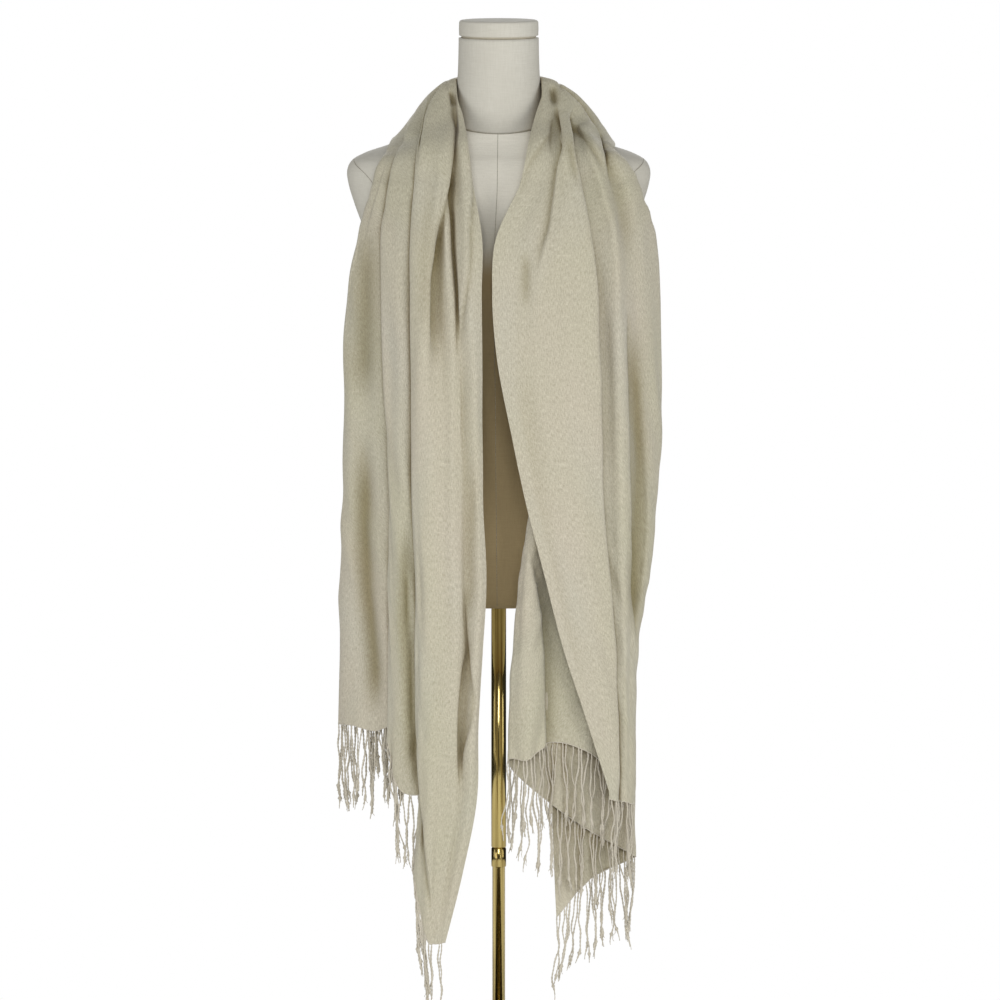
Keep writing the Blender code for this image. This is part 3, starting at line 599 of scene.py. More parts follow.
def fall_grid(folds, section, hand, turns):
    """A fall as a grid (row, column, xyz) from a row behind its seam to the hem, and its slots."""
    columns = list(columns_of(folds))
    counts = [samples for _, _, _, samples in columns[:-1]]
    steps = [k + j / count for k, count in enumerate(counts) for j in range(count)]
    slots = np.array([*steps, len(columns) - 1.0])
    ends = (0, *turns, len(section) - 1)
    roll_slots = np.interp(slots, ends, (0, *ROLL_TURNS, len(section) - 1))

    angles = 90.0 * hand * np.array((BEHIND_SEAM, 1))
    over = along_curves(roll_curves(section, angles), roll_slots)
    shoulder = spline(np.array([[shoulder_point(f, i) for f, i, _, _ in columns]]), counts)
    top = FOLD_HEIGHTS[0]
    chest = spline(
        np.stack([hanging_points(f, i, np.array(FOLD_HEIGHTS[:2], float))
                  for f, i, _, _ in columns], axis=1), counts)
    lanes = np.concatenate((over, shoulder, chest), axis=0).transpose(1, 0, 2)
    rows = spline(lanes, [ROWS_TO_SHOULDER, ROWS_TO_SHOULDER, ROWS_TO_CHEST, 0])
    rows = rows.transpose(1, 0, 2)[ROWS_TO_SHOULDER - 1:]
    first = ROWS_TO_SHOULDER + 1
    for k in range(1, ROWS_TO_CHEST):
        rise = CHEST_LIFT * math.sin(math.pi * k / ROWS_TO_CHEST) ** 2
        rows[first + k] += rise * CHEST_OUTWARD
    t = np.arange(1, ROWS_DOWN + 1) / ROWS_DOWN
    down = spline(
        np.stack([hanging_points(f, i, blend(top, hem, t)) for f, i, hem, _ in columns], axis=1),
        counts)
    return np.concatenate((rows, down), axis=0), slots, roll_slots


def neck_grid():
    """The neck stretch as a grid with one row beyond each seam, and its slots."""
    step = 180 / ROWS_ROUND_NECK
    angles = -90 + step * np.arange(-1, ROWS_ROUND_NECK + 2)
    left = roll_curves(ROLL_LEFT, angles[angles < 0])
    right = roll_curves(ROLL_RIGHT, angles[angles >= 0])
    curves = np.concatenate((left, right), axis=0)
    slots = np.arange(0, curves.shape[1], 1) / ROLL_SAMPLES
    return curves, slots, angles


def near_path(path, x, height):
    """Signed distance from a smooth path, positive on its right going down, place and length."""
    flat = np.array([[(px, 0.0, pz) for px, pz in path]])
    curve = spline(flat, [PATH_SAMPLES] * (len(path) - 1))[0][:, (0, 2)]
    run = distances(curve)
    tangent = np.gradient(curve, axis=0)
    tangent /= np.linalg.norm(tangent, axis=1, keepdims=True)
    offset = np.stack((x, height), axis=-1)[:, None] - curve
    nearest = (offset ** 2).sum(axis=2).argmin(axis=1)
    offset = offset[np.arange(len(nearest)), nearest]
    tangent = tangent[nearest]
    side = tangent[:, 0] * offset[:, 1] - tangent[:, 1] * offset[:, 0]
    return side, run[nearest] + (tangent * offset).sum(axis=1), run[-1]


def crease_height(crease, s):
    if crease.kind == "groove":
        return -crease.depth * bell(s, crease.width)
    if crease.kind == "ridge":
        return crease.depth * bell(s, crease.width)
    if crease.kind == "right over":
        s = -s
    step = np.tanh(s / LAP_EDGE)
    over = (1 - step) / 2 * bell(s, LAP_SPREAD * crease.width)
    under = (1 + step) / 2 * bell(s, crease.width)
    return crease.depth * (over - LAP_DROP * under)


def crease_shade(crease, s):
    """How much painted shade a crease puts on the cloth, 1 in a deep one."""
    if crease.kind == "ridge":
        return np.zeros_like(s)
    shade = min(crease.depth / FULL_SHADE_DEPTH, 1) * bell(s, crease.width)
    if crease.kind == "groove":
        return shade
    over = -s if crease.kind == "right over" else s
    return shade * (1 + np.tanh(over / LAP_EDGE)) / 2


def press(grid, normals, slots, creases):
    """How far each crease moves each point of a fall along its normal, and how much painted shade
    it puts there.

    A layer that is folded back shows its other side, so its creases are pressed the other way."""
    moved = np.zeros(grid.shape[:2])
    hollow = np.zeros(grid.shape[:2])
    for crease in creases:
        columns = ease(np.minimum(slots - crease.first, crease.last - slots) / COLUMN_MARGIN)
        rows, cols = np.nonzero((columns > 0)[None] & (grid[..., 1] < -SEAM_MARGIN[0]))
        points = grid[rows, cols]
        sight = points[:, 2] + points[:, 1] * math.tan(CAMERA_ELEVATION)
        side, run, length = near_path(crease.path, points[:, 0], sight)
        wide = crease.kind == "groove" or crease.width > NARROW_LAP
        start = max(CREASE_START, WIDE_START * crease.width) if wide else CREASE_START
        fade = ease(run / min(start, START_SHARE * length))
        fade *= ease((length - run) / min(CREASE_END, END_SHARE * length))
        fade *= columns[cols] * forward(points[:, 1], SEAM_MARGIN)
        weight = fade * bell(side, crease.width)
        toward = -np.sign((normals[rows, cols, 1] * weight).sum())
        moved[rows, cols] += toward * crease_height(crease, side) * fade
        hollow[rows, cols] += crease_shade(crease, side) * fade
    return moved, np.minimum(hollow, 1)


def pleat_heights(pleats, roll_slots):
    return -sum(p.depth * bell(roll_slots - p.slot, p.width) for p in pleats)


def ripples(u, v, chance):
    """Low uneven waves that run down the cloth."""
    total = np.zeros_like(u)
    for _ in range(RIPPLES):
        across, along = chance.uniform(*RIPPLE_ACROSS), chance.uniform(*RIPPLE_ALONG)
        turns = [chance.uniform(0, 1) for _ in range(3)]
        bend = RIPPLE_BEND * np.sin(2 * np.pi * (v / along + turns[0]))
        swell = 0.5 + 0.5 * np.sin(2 * np.pi * (v / (SWELL_LENGTH * along) + turns[1]))
        height = RIPPLE_HEIGHT * across / RIPPLE_ACROSS[1]
        total += height * swell * np.sin(2 * np.pi * (u / across + bend + turns[2]))
    return total


def fold_fall(grid, slots, roll_slots, hand, creases, pleats, seed):
    """A fall with its creases, pleats, ripples and wavy hem pressed into it."""
    chance = random.Random(seed)
    u, v = distances(grid, 1), distances(grid)
    normals = normals_of(grid, hand)
    moved, hollow = press(grid, normals, slots, creases)
    moved += pleat_heights(pleats, roll_slots)[None] * ease(1 - v / PLEAT_REACH)
    near, far = RIPPLE_START
    moved += ripples(u, v, chance) * ease((v - near) / far)
    hem = ease(1 - (v[-1:] - v) / HEM_WAVE_REACH)
    for _ in range(HEM_WAVES):
        span, turn = chance.uniform(*HEM_WAVE_SPANS), chance.uniform(0, 1)
        moved += HEM_WAVE / 2 * hem * np.sin(2 * np.pi * (u / span + turn))
    return grid + normals * moved[..., None], hollow


def fold_neck(grid, slots, angles):
    """The neck stretch with the pleats that run along it, and the painted shade in them."""
    near, far = ROLL_EDGE
    outer = ease((ROLL_TURNS[0] - near - slots) / far)[None]
    moved = np.zeros(grid.shape[:2])
    hollow = np.zeros(grid.shape[:2])
    for pleats, side in ((LEFT_PLEATS, -1), (RIGHT_PLEATS, 1)):
        fade = ease(1 - (90 - side * angles) / PLEAT_REACH)
        moved += pleat_heights(pleats, slots)[None] * fade[:, None]
    for k, pleat in enumerate(NAPE_PLEATS):
        turns = np.radians(WANDER_WAVES * angles + WANDER_STEP * k)[:, None]
        offset = slots[None] - (pleat.slot + NAPE_WANDER * np.sin(turns))
        fade = ease(1 - np.abs(angles - pleat.centre) / NAPE_REACH)
        fade *= ease((90 - np.abs(angles)) / NAPE_FADE)
        pressed = pleat.depth * bell(offset, pleat.width) * fade[:, None]
        moved -= pressed
        hollow += pressed / FULL_SHADE_DEPTH
    return grid + normals_of(grid, 1) * (moved * outer)[..., None], np.minimum(hollow * outer, 1)


def normals_of(grid, hand):
    """Unit normals of a grid, on the side that faces away from the form on its outer layers."""
    across = np.gradient(grid, axis=1)
    down = np.gradient(grid, axis=0)
    normal = -hand * np.cross(across, down)
    return normal / np.maximum(np.linalg.norm(normal, axis=2, keepdims=True), SHORTEST_NORMAL)


# ---------------------------------------------------------------- meshes

def mesh_object(name, points, faces, skin, hollow=None):
    """An object of points and faces, with how much painted shade each point gets, negative for
    painted light.
    """
    mesh = bpy.data.meshes.new(name)
    mesh.from_pydata((points * MM).tolist(), [], faces)
    if hollow is not None:
        shade = mesh.attributes.new("hollow", "FLOAT", "POINT")
        shade.data.foreach_set("value", hollow.reshape(-1).astype(np.float32))
    mesh.shade_smooth()
    mesh.materials.append(skin)
    made = bpy.data.objects.new(name, mesh)
    bpy.context.scene.collection.objects.link(made)
    return made


def shell_object(name, grid, normals, hand, skin, uv, hollow):
    """A closed thin shell about a grid of points."""
    rows, columns = grid.shape[:2]
    half = normals * SHELL_WALL / 2
    points = np.concatenate(((grid + half).reshape(-1, 3), (grid - half).reshape(-1, 3)))
    index = np.arange(rows * columns).reshape(rows, columns)
    quads = np.stack((index[:-1, :-1], index[1:, :-1], index[1:, 1:], index[:-1, 1:]), axis=2)
    back = quads.reshape(-1, 4) + rows * columns
    front = quads.reshape(-1, 4)[:, ::-1]
    edge = np.concatenate((index[0, :], index[1:, -1], index[-1, -2::-1], index[-2:0:-1, 0]))
    nxt = np.roll(edge, -1)
    rim = np.stack((edge, edge + rows * columns, nxt + rows * columns, nxt), axis=1)
    faces = np.concatenate((front, back, rim))[:, ::-hand]
    made = mesh_object(name, points, faces.tolist(), skin, np.tile(hollow.reshape(-1), 2))
    mesh = made.data
    layer = mesh.uv_layers.new(name="cloth")
    flat = np.stack([c.reshape(-1) for c in uv], axis=1) * MM
    flat = np.concatenate((flat, flat))
    loops = np.zeros(len(mesh.loops), int)
    mesh.loops.foreach_get("vertex_index", loops)
    layer.data.foreach_set("uv", flat[loops].reshape(-1).astype(np.float32))
    shading = np.concatenate((normals.reshape(-1, 3), -normals.reshape(-1, 3)))
    mesh.normals_split_custom_set_from_vertices(shading.tolist())
    return made


def grid_object(name, grid, skin, hollow=None):
    """A tube of rings, closed round and at both ends."""
    rings, sides = grid.shape[:2]
    index = np.arange(rings * sides).reshape(rings, sides)
    turned = np.roll(index, -1, axis=1)
    faces = np.stack((index[:-1], turned[:-1], turned[1:], index[1:]), axis=2)
    faces = [*faces.reshape(-1, 4).tolist(), index[0, ::-1].tolist(), index[-1].tolist()]
    return mesh_object(name, grid.reshape(-1, 3), faces, skin, hollow)


def turned_object(name, profile, skin, sides=TURNED_SIDES):
    """A solid of revolution about the pole's axis, from its profile (radius, height)."""
    c, s = np.cos(circle(sides)), np.sin(circle(sides))
    rings = [np.stack((r * c, r * s, np.full(sides, float(z))), axis=1) for r, z in profile]
    return grid_object(name, np.stack(rings), skin)


def rounded(radius, height, rounding, steps=8):
    """The rounded upper rim of a turned disc, from its top to its wall."""
    turns = [math.pi / 2 * k / steps for k in range(steps + 1)]
    return [(radius - rounding * (1 - math.sin(t)), height - rounding * (1 - math.cos(t)))
            for t in turns]


def tube(path, radii, sides, reference, lobe=0.0, twist=0.0, closed=False):
    """Points and faces of a tube about a path; with lobes, it is twisted like a two-ply cord."""
    path = np.asarray(path, float)
    if closed:
        tangent = np.roll(path, -1, axis=0) - np.roll(path, 1, axis=0)
    else:
        tangent = np.gradient(path, axis=0)
    tangent /= np.linalg.norm(tangent, axis=1, keepdims=True)
    side = np.cross(tangent, reference)
    side /= np.linalg.norm(side, axis=1, keepdims=True)
    other = np.cross(tangent, side)
    turns = circle(sides)
    radii = np.broadcast_to(radii, len(path))[:, None]
    if lobe:
        twisted = 4 * np.pi * distances(path)[:, None] / twist
        radii = radii * (1 + lobe * np.cos(2 * turns[None] - twisted))
    c, s = (f(turns)[None, :, None] for f in (np.cos, np.sin))
    points = path[:, None] + radii[..., None] * (c * side[:, None] + s * other[:, None])
    index = np.arange(len(path) * sides).reshape(len(path), sides)
    beyond = np.roll(index, -1, axis=0) if closed else index[1:]
    here = index if closed else index[:-1]
    faces = np.stack((here, beyond, np.roll(beyond, -1, 1), np.roll(here, -1, 1)), axis=2)
    faces = faces.reshape(-1, 4).tolist()
    if not closed:
        faces += [index[0].tolist(), index[-1, ::-1].tolist()]
    return points.reshape(-1, 3), faces


def tubes_object(name, tubes, skin):
    """One object of several tubes."""
    points, faces, start = [], [], 0
    for part_points, part_faces in tubes:
        points.append(part_points)
        faces += [[k + start for k in face] for face in part_faces]
        start += len(part_points)
    return mesh_object(name, np.concatenate(points), faces, skin)


# ---------------------------------------------------------------- fringe

def strand_paths(hem, hand, chance):
    """Strands that hang from the hem, many of them drawn together, with their lengths."""
    run = distances(hem)
    count = round(run[-1] / STRAND_PITCH)
    at = (np.arange(count) + 0.5) / count * run[-1]
    at += [chance.uniform(-STRAND_SCATTER, STRAND_SCATTER) * STRAND_PITCH for _ in range(count)]
    roots = np.stack([np.interp(at, run, hem[:, i]) for i in range(3)], axis=1)
    slopes = np.gradient(roots, axis=0)
    t = np.linspace(0, 1, STRAND_RINGS)
    level, steepest = STEEP_SLOPE
    k = 0
    while k < count:
        size = min(chance.choice(GROUP_SIZES), count - k)
        members = roots[k:k + size]
        meet = chance.uniform(*GROUP_MEETS)
        length = chance.uniform(*STRAND_LENGTHS)
        lean = np.array((chance.uniform(*LEAN_ACROSS), chance.uniform(*LEAN_ALONG), 0))
        swing = [(chance.uniform(*SWING_WAVES), chance.uniform(0, 2 * math.pi)) for _ in range(2)]
        low = members[:, 2].mean()
        for j, (root, slope) in enumerate(zip(members, slopes[k:k + size])):
            steep = ease((abs(slope[2]) / np.linalg.norm(slope) - level) / steepest)
            drag = np.array((-hand * steep * STEEP_LEAN, 0, 0))
            own = length * chance.uniform(*OWN_LENGTHS) + LENGTH_FOLLOWS * (root[2] - low)
            joined = ease(t / meet) if size > 1 else t * 0
            gather = (members.mean(axis=0) - root) * (1, 1, 0)
            path = root + np.outer(joined, gather) + np.outer(t ** LEAN_CURVE, lean + drag)
            path[:, 2] += ROOT_RISE - t * own
            for axis, reach, (waves, turn) in zip((0, 1), SWING_REACHES, swing):
                path[:, axis] += reach * t * np.sin(2 * math.pi * waves * t + turn)
            loose = (1 - JOINED_CURL * joined) * np.sin(math.pi * t) ** 0.5
            for waves, reach in [(chance.uniform(*span), reach) for span, reach in CURLS]:
                turn = chance.uniform(0, 2 * math.pi)
                path[:, 0] += reach * loose * np.sin(2 * math.pi * waves * t + turn)
            around = 2 * math.pi * (j / size + GROUP_TURNS * t)
            path[:, 0] += STRAND_RADIUS * joined * np.cos(around)
            path[:, 1] += STRAND_RADIUS * joined * np.sin(around)
            yield path, own
        k += size


def fringe_object(name, hem, hand, skin, seed):
    """The knotted ends of the warp, and the cord of the hem that they hang from."""
    chance = random.Random(seed)
    toward_front = np.array((0.0, 1.0, 0.0))
    tubes = [tube(hem[::HEM_STEP] - HEM_DROP, HEM_RADIUS, HEM_SIDES, toward_front)]
    for path, length in strand_paths(hem, hand, chance):
        t = np.linspace(0, 1, STRAND_RINGS)
        knot = chance.uniform(*KNOT_PLACES)
        radii = STRAND_RADIUS * chance.uniform(*STRAND_RADII)
        radii = radii * blend(ROOT_SIZE, 1, ease(t * ROOT_SHARE))
        waves = chance.uniform(*UNEVEN_WAVES)
        radii = radii * (1 + UNEVEN * np.sin(2 * math.pi * (waves * t + chance.random())))
        radii = radii + chance.uniform(*KNOT_SIZES) * bell((t - knot) * length, KNOT_LENGTH)
        taper = 1 - END_TAPER * ease((t - knot) / (1 - knot))
        radii = np.where(t > knot, radii * taper, radii)
        tubes.append(tube(path, radii, STRAND_SIDES, toward_front, TWIST_LOBE, TWIST_PITCH))
        foot = path[int(knot * (STRAND_RINGS - 1))]
        for _ in range(chance.choice(TUFTS)):
            reach = chance.uniform(*TUFT_LENGTHS)
            turn = chance.uniform(0, 2 * math.pi)
            out = np.array((math.cos(turn), math.sin(turn), 0)) * TUFT_SPREAD
            s = np.linspace(0, 1, TUFT_RINGS)
            ends = foot + np.outer(s ** TUFT_FLARE, out) - np.outer(s * reach, (0, 0, 1))
            ends[:, 0] += TUFT_CURL * np.sin(TUFT_WAVES * s + turn)
            tubes.append(tube(ends, blend(*TUFT_RADII, s), TUFT_SIDES, toward_front))
    return tubes_object(name, tubes, skin)


# ---------------------------------------------------------------- skins

def add_node(tree, kind, inputs, settings):
    """A shader node, with its inputs set or linked, by name or by number."""
    made = tree.nodes.new("ShaderNode" + kind)
    for name, value in settings.items():
        setattr(made, name, value)
    for socket, value in inputs.items():
        if isinstance(value, bpy.types.NodeSocket):
            tree.links.new(value, made.inputs[socket])
        else:
            made.inputs[socket].default_value = value
    return made


class Skin:
    """A procedural material, built from its shader backwards."""

    def __init__(self, name, rough, metal=0.0, **sockets):
        self.material = bpy.data.materials.new(name)
        self.material.use_nodes = True
        self.tree = self.material.node_tree
        self.shader = self.tree.nodes["Principled BSDF"]
        self.shader.inputs["Roughness"].default_value = rough
        self.shader.inputs["Metallic"].default_value = metal
        for socket, value in sockets.items():
            self.shader.inputs[socket.replace("_", " ")].default_value = value

    def node(self, kind, output, inputs=None, **settings):
        return add_node(self.tree, kind, inputs or {}, settings).outputs[output]

    def noise(self, scale, detail=2.0, rough=0.5, uv=False, warp=0.0):
        """Noise whose grains are 1/scale metres long on each axis."""
        if uv:
            place = self.node("UVMap", "UV", uv_map="cloth")
        else:
            place = self.node("TexCoord", "Object")
        place = self.node("Mapping", "Vector", {"Vector": place, "Scale": scale})
        return self.node("TexNoise", "Fac", {
            "Vector": place, "Scale": 1.0, "Detail": detail, "Roughness": rough,
            "Distortion": warp})

    def steer(self, value, low, high, start=0.0, end=1.0):
        """A value's range, moved and clamped."""
        return self.node("MapRange", "Result", {
            "Value": value, "From Min": low, "From Max": high, "To Min": start, "To Max": end})

    def sum(self, a, b, how="ADD"):
        return self.node("Math", "Value", {0: a, 1: b}, operation=how)

    def mix(self, factor, a, b, how="MIX"):
        a, b = (c if isinstance(c, bpy.types.NodeSocket) else (*c, 1) for c in (a, b))
        return self.node("Mix", 2, {0: factor, 6: a, 7: b}, data_type="RGBA", blend_type=how)

    def tint(self, factor, colour, tint):
        return self.mix(factor, colour, self.mix(1.0, colour, tint, "MULTIPLY"))

    def bump(self, height, distance, strength, under=None):
        inputs = {"Height": height, "Distance": distance * MM, "Strength": strength}
        if under:
            inputs["Normal"] = under
        return self.node("Bump", "Normal", inputs)

    def crevices(self, reach, low, high):
        """Nearness of other surfaces within a reach, which paints shade: 1 deep in a fold, 0 in
        the open.
        """
        near = self.node("AmbientOcclusion", "AO", {"Distance": reach * MM}, samples=SHADE_SAMPLES)
        return self.steer(near, low, high, 1, 0)

    # The "hollow" attribute: painted shade in creases, pleats and between the falls, and painted
    # light on the open chest where it is negative.
    def hollow(self):
        return self.node("Attribute", "Fac", attribute_name="hollow")

    def finish(self, colour, normal=None, rough=None):
        for socket, value in (("Base Color", colour), ("Normal", normal), ("Roughness", rough)):
            if value:
                self.tree.links.new(value, self.shader.inputs[socket])
        return self.material


CLOTH_OLIVE = (0.565, 0.54, 0.412)
CLOTH_WARM = (0.60, 0.553, 0.448)
CLOTH_GREY = (0.575, 0.563, 0.475)
CLOTH_SLUB = (0.68, 0.63, 0.52)
THREAD_TINT = (0.66, 0.64, 0.60)
SHADE_SAMPLES = 12
# Painted shade in crevices of the cloth and where its layers touch: reach and colour.
CREVICE_REACH = 30
CREVICE_PAINTED_SHADE = (0.72, 0.645, 0.49)
# Painted shade of the creases and pleats.
HOLLOW_PAINTED_SHADE = (0.55, 0.51, 0.38)
CONTACT_REACH = 8
CONTACT_PAINTED_SHADE = (0.50, 0.42, 0.30)
FRINGE_DARK = (0.49, 0.45, 0.365)
FRINGE_PALE = (0.565, 0.525, 0.435)
FRINGE_HAIRS = (0.42, 0.38, 0.31)
# Painted shade on the linen near the cloth.
LINEN_REACH = 60
LINEN_PAINTED_SHADE = (0.88, 0.80, 0.66)
# Painted shade between the falls and painted light on the open chest of the form.
BETWEEN_PAINTED_SHADE = (0.68, 0.54, 0.33)
CHEST_PAINTED_LIGHT = (1.45, 1.45, 1.46)
LINEN_DARK = (0.565, 0.542, 0.472)
LINEN_PALE = (0.617, 0.598, 0.528)
LINEN_GRAIN = (0.49, 0.467, 0.396)
SEAM_DARK = (0.27, 0.245, 0.19)
SEAM_PALE = (0.38, 0.35, 0.28)
# Streak colours of the brass, dark and pale, which also paint the reflection of a dark room.
BRASS_DARK = (0.30, 0.20, 0.055)
BRASS_PALE = (0.78, 0.62, 0.24)
BRASS_DULL = (0.36, 0.27, 0.11)
FLOOR_DARK = (0.79, 0.79, 0.78)
FLOOR_PALE = (0.82, 0.82, 0.81)


def cashmere_skin():
    """Cashmere: uneven threads, small crinkles, a warm and an olive cast by turns, and painted
    shade in its creases and crevices.
    """
    skin = Skin("cashmere", 0.9, Sheen_Weight=0.36, Sheen_Roughness=0.45,
                Sheen_Tint=(1.0, 0.97, 0.9, 1), Specular_IOR_Level=0.2)
    warp = skin.noise((820, 190, 1), 3, 0.6, uv=True)
    weft = skin.noise((260, 1100, 1), 3, 0.6, uv=True)
    threads = skin.sum(skin.sum(warp, 1.35, "MULTIPLY"), skin.sum(weft, 0.65, "MULTIPLY"))
    crinkle = skin.noise((540, 150, 1), 3, 0.6, uv=True, warp=0.2)
    cloudy = skin.noise((5, 2.2, 1), 3, uv=True)
    cast = skin.noise((11, 4, 1), 2, uv=True)
    colour = skin.mix(skin.steer(cloudy, 0.38, 0.62), CLOTH_OLIVE, CLOTH_WARM)
    colour = skin.mix(skin.steer(cast, 0.45, 0.7, 0, 0.5), colour, CLOTH_GREY)
    grain = skin.steer(threads, 0.7, 1.3, 0, 1)
    colour = skin.tint(grain, colour, THREAD_TINT)
    slub = skin.steer(skin.noise((26, 620, 1), 1, uv=True), 0.66, 0.74, 0, 0.25)
    colour = skin.mix(slub, colour, CLOTH_SLUB)
    # Painted shade in the creases and pleats, from the "hollow" attribute.
    colour = skin.tint(skin.hollow(), colour, HOLLOW_PAINTED_SHADE)
    # Painted shade deep in folds and where layers touch, from the nearness of other surfaces.
    colour = skin.tint(skin.crevices(CREVICE_REACH, 0.2, 0.75), colour, CREVICE_PAINTED_SHADE)
    colour = skin.tint(skin.crevices(CONTACT_REACH, 0.2, 0.8), colour, CONTACT_PAINTED_SHADE)
    return skin.finish(colour, skin.bump(threads, 0.2, 0.8, skin.bump(crinkle, 1.2, 0.9)))


def fringe_skin():
    """Twisted cashmere ends, paler and greyer than the cloth."""
    skin = Skin("fringe", 0.92, Sheen_Weight=0.2, Sheen_Roughness=0.5, Specular_IOR_Level=0.2)
    patches = skin.noise((60, 60, 14), 2)
    hairs = skin.noise((1400, 1400, 500), 2)
    colour = skin.mix(skin.steer(patches, 0.35, 0.65), FRINGE_DARK, FRINGE_PALE)
    colour = skin.mix(skin.steer(hairs, 0.35, 0.7, 0, 0.3), colour, FRINGE_HAIRS)
    return skin.finish(colour, skin.bump(hairs, 0.25, 0.5))


def linen_skin():
    """Close linen stretched over the form. Where "hollow" is positive, shade is painted on it
    between the falls, and where it is negative, light is painted on the open chest, as if it came
    through the thin cloth. Its crevices near the cloth get painted shade too."""
    skin = Skin("linen", 0.9, Sheen_Weight=0.06, Specular_IOR_Level=0.25)
    upright = skin.noise((900, 900, 60), 2)
    level = skin.noise((60, 60, 1000), 2)
    threads = skin.sum(upright, level)
    cloudy = skin.noise((9, 9, 6), 3)
    colour = skin.mix(skin.steer(cloudy, 0.35, 0.65), LINEN_DARK, LINEN_PALE)
    colour = skin.mix(skin.steer(threads, 0.75, 1.3, 0, 0.5), colour, LINEN_GRAIN)
    hollow = skin.hollow()
    # Painted shade on the form's front between the falls.
    colour = skin.tint(skin.steer(hollow, 0, 1), colour, BETWEEN_PAINTED_SHADE)
    # Painted light on the open chest.
    colour = skin.tint(skin.steer(hollow, 0, -1), colour, CHEST_PAINTED_LIGHT)
    # Painted shade on the linen in its crevices near the cloth.
    colour = skin.tint(skin.crevices(LINEN_REACH, 0.05, 0.6), colour, LINEN_PAINTED_SHADE)
    return skin.finish(colour, skin.bump(threads, 0.2, 0.5))


def seam_skin():
    skin = Skin("seam", 0.95)
    stitches = skin.noise((500, 500, 500), 1)
    colour = skin.mix(skin.steer(stitches, 0.4, 0.6), SEAM_DARK, SEAM_PALE)
    return skin.finish(colour, skin.bump(stitches, 0.2, 0.5))


def brass_skin():
    """Brass, a little dulled, with dark and pale streaks along the pole: drawing marks, and
    painted reflection of a dark room.
    """
    skin = Skin("brass", 0.2, 1.0)
    drawn_and_reflection_streaks = skin.noise((260, 260, 2.2), 3, 0.6)
    fine = skin.noise((1800, 1800, 8), 2)
    dull = skin.noise((24, 24, 9), 3)
    # Streaks along the pole, partly drawn-brass marks and partly painted reflection of a dark room
    # all round it.
    colour = skin.mix(skin.steer(drawn_and_reflection_streaks, 0.36, 0.6), BRASS_DARK, BRASS_PALE)
    colour = skin.mix(skin.steer(dull, 0.45, 0.7, 0, 0.35), colour, BRASS_DULL)
    rough = skin.sum(
        skin.steer(fine, 0.3, 0.7, 0.0, 0.06), skin.steer(dull, 0.35, 0.7, 0.07, 0.16))
    return skin.finish(colour, skin.bump(fine, 0.05, 0.3), rough)


def floor_skin():
    skin = Skin("floor", 0.6)
    return skin.finish(skin.mix(skin.noise((12, 12, 12), 3), FLOOR_DARK, FLOOR_PALE))


def dress(piece, slot, *nodes):
    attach(piece, "root")
    if nodes:
        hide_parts(*nodes)
    return piece


# ---------------------------------------------------------------- form and stand

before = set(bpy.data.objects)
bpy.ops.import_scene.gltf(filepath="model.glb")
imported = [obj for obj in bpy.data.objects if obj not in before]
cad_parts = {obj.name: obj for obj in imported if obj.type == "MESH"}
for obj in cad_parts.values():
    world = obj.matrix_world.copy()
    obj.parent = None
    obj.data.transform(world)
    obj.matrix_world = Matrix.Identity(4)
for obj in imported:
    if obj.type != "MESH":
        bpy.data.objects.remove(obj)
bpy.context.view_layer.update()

cashmere, fringe, linen = cashmere_skin(), fringe_skin(), linen_skin()
seam, brass = seam_skin(), brass_skin()

# Painted shade on the form's front between the falls, below a height, and painted light on its
# open chest above it: how fast each begins there, and how far forward.
BETWEEN_FALLS = 1182
BETWEEN_FADE = 48
BETWEEN_FORWARD = (25, 45)
CHEST_FADE = 60
CHEST_FORWARD = (15, 35)
CHEST_REACH = 70
body_rings = loft_form(TORSO_RINGS, BODY_SQUARENESS)
x, y, up = (body_rings[..., k] for k in range(3))
between = ease((BETWEEN_FALLS - up) / BETWEEN_FADE) * forward(y, BETWEEN_FORWARD)
painted_chest_light = ease((up - BETWEEN_FALLS) / CHEST_FADE) * forward(y, CHEST_FORWARD)
between -= painted_chest_light * np.exp(-(x / CHEST_REACH) ** 4)
torso = grid_object("torso", body_rings, linen, between)
dress(torso, "linen", "form_torso")
form_neck = grid_object("neck", loft_form(NECK_RINGS, NECK_SQUARENESS), linen)
dress(form_neck, "linen", "form_neck")

CAP_TOP = 1450
CAP_RADIUS = 49.4
CAP_FOOT = 1428.3
CAP_GROOVE_TOP = 1430.6
CAP_GROOVE_RADIUS = 46.5
CAP_ROUNDING = 3.6
CAP_MIDDLE = 1440
CAP_SIDES = 128
cap = turned_object("cap", [
    (0.5, CAP_TOP),
    (20, CAP_TOP),
    (38, CAP_TOP),
    *rounded(CAP_RADIUS, CAP_TOP, CAP_ROUNDING),
    (CAP_RADIUS + 0.2, CAP_MIDDLE),
    (CAP_RADIUS, CAP_GROOVE_TOP + 1.2),
    (CAP_RADIUS - 0.5, CAP_GROOVE_TOP + 0.2),
    (CAP_GROOVE_RADIUS, CAP_GROOVE_TOP),
    (CAP_GROOVE_RADIUS, CAP_FOOT),
    (0.5, CAP_FOOT),
], linen, CAP_SIDES)
dress(cap, "linen", "form_cap")

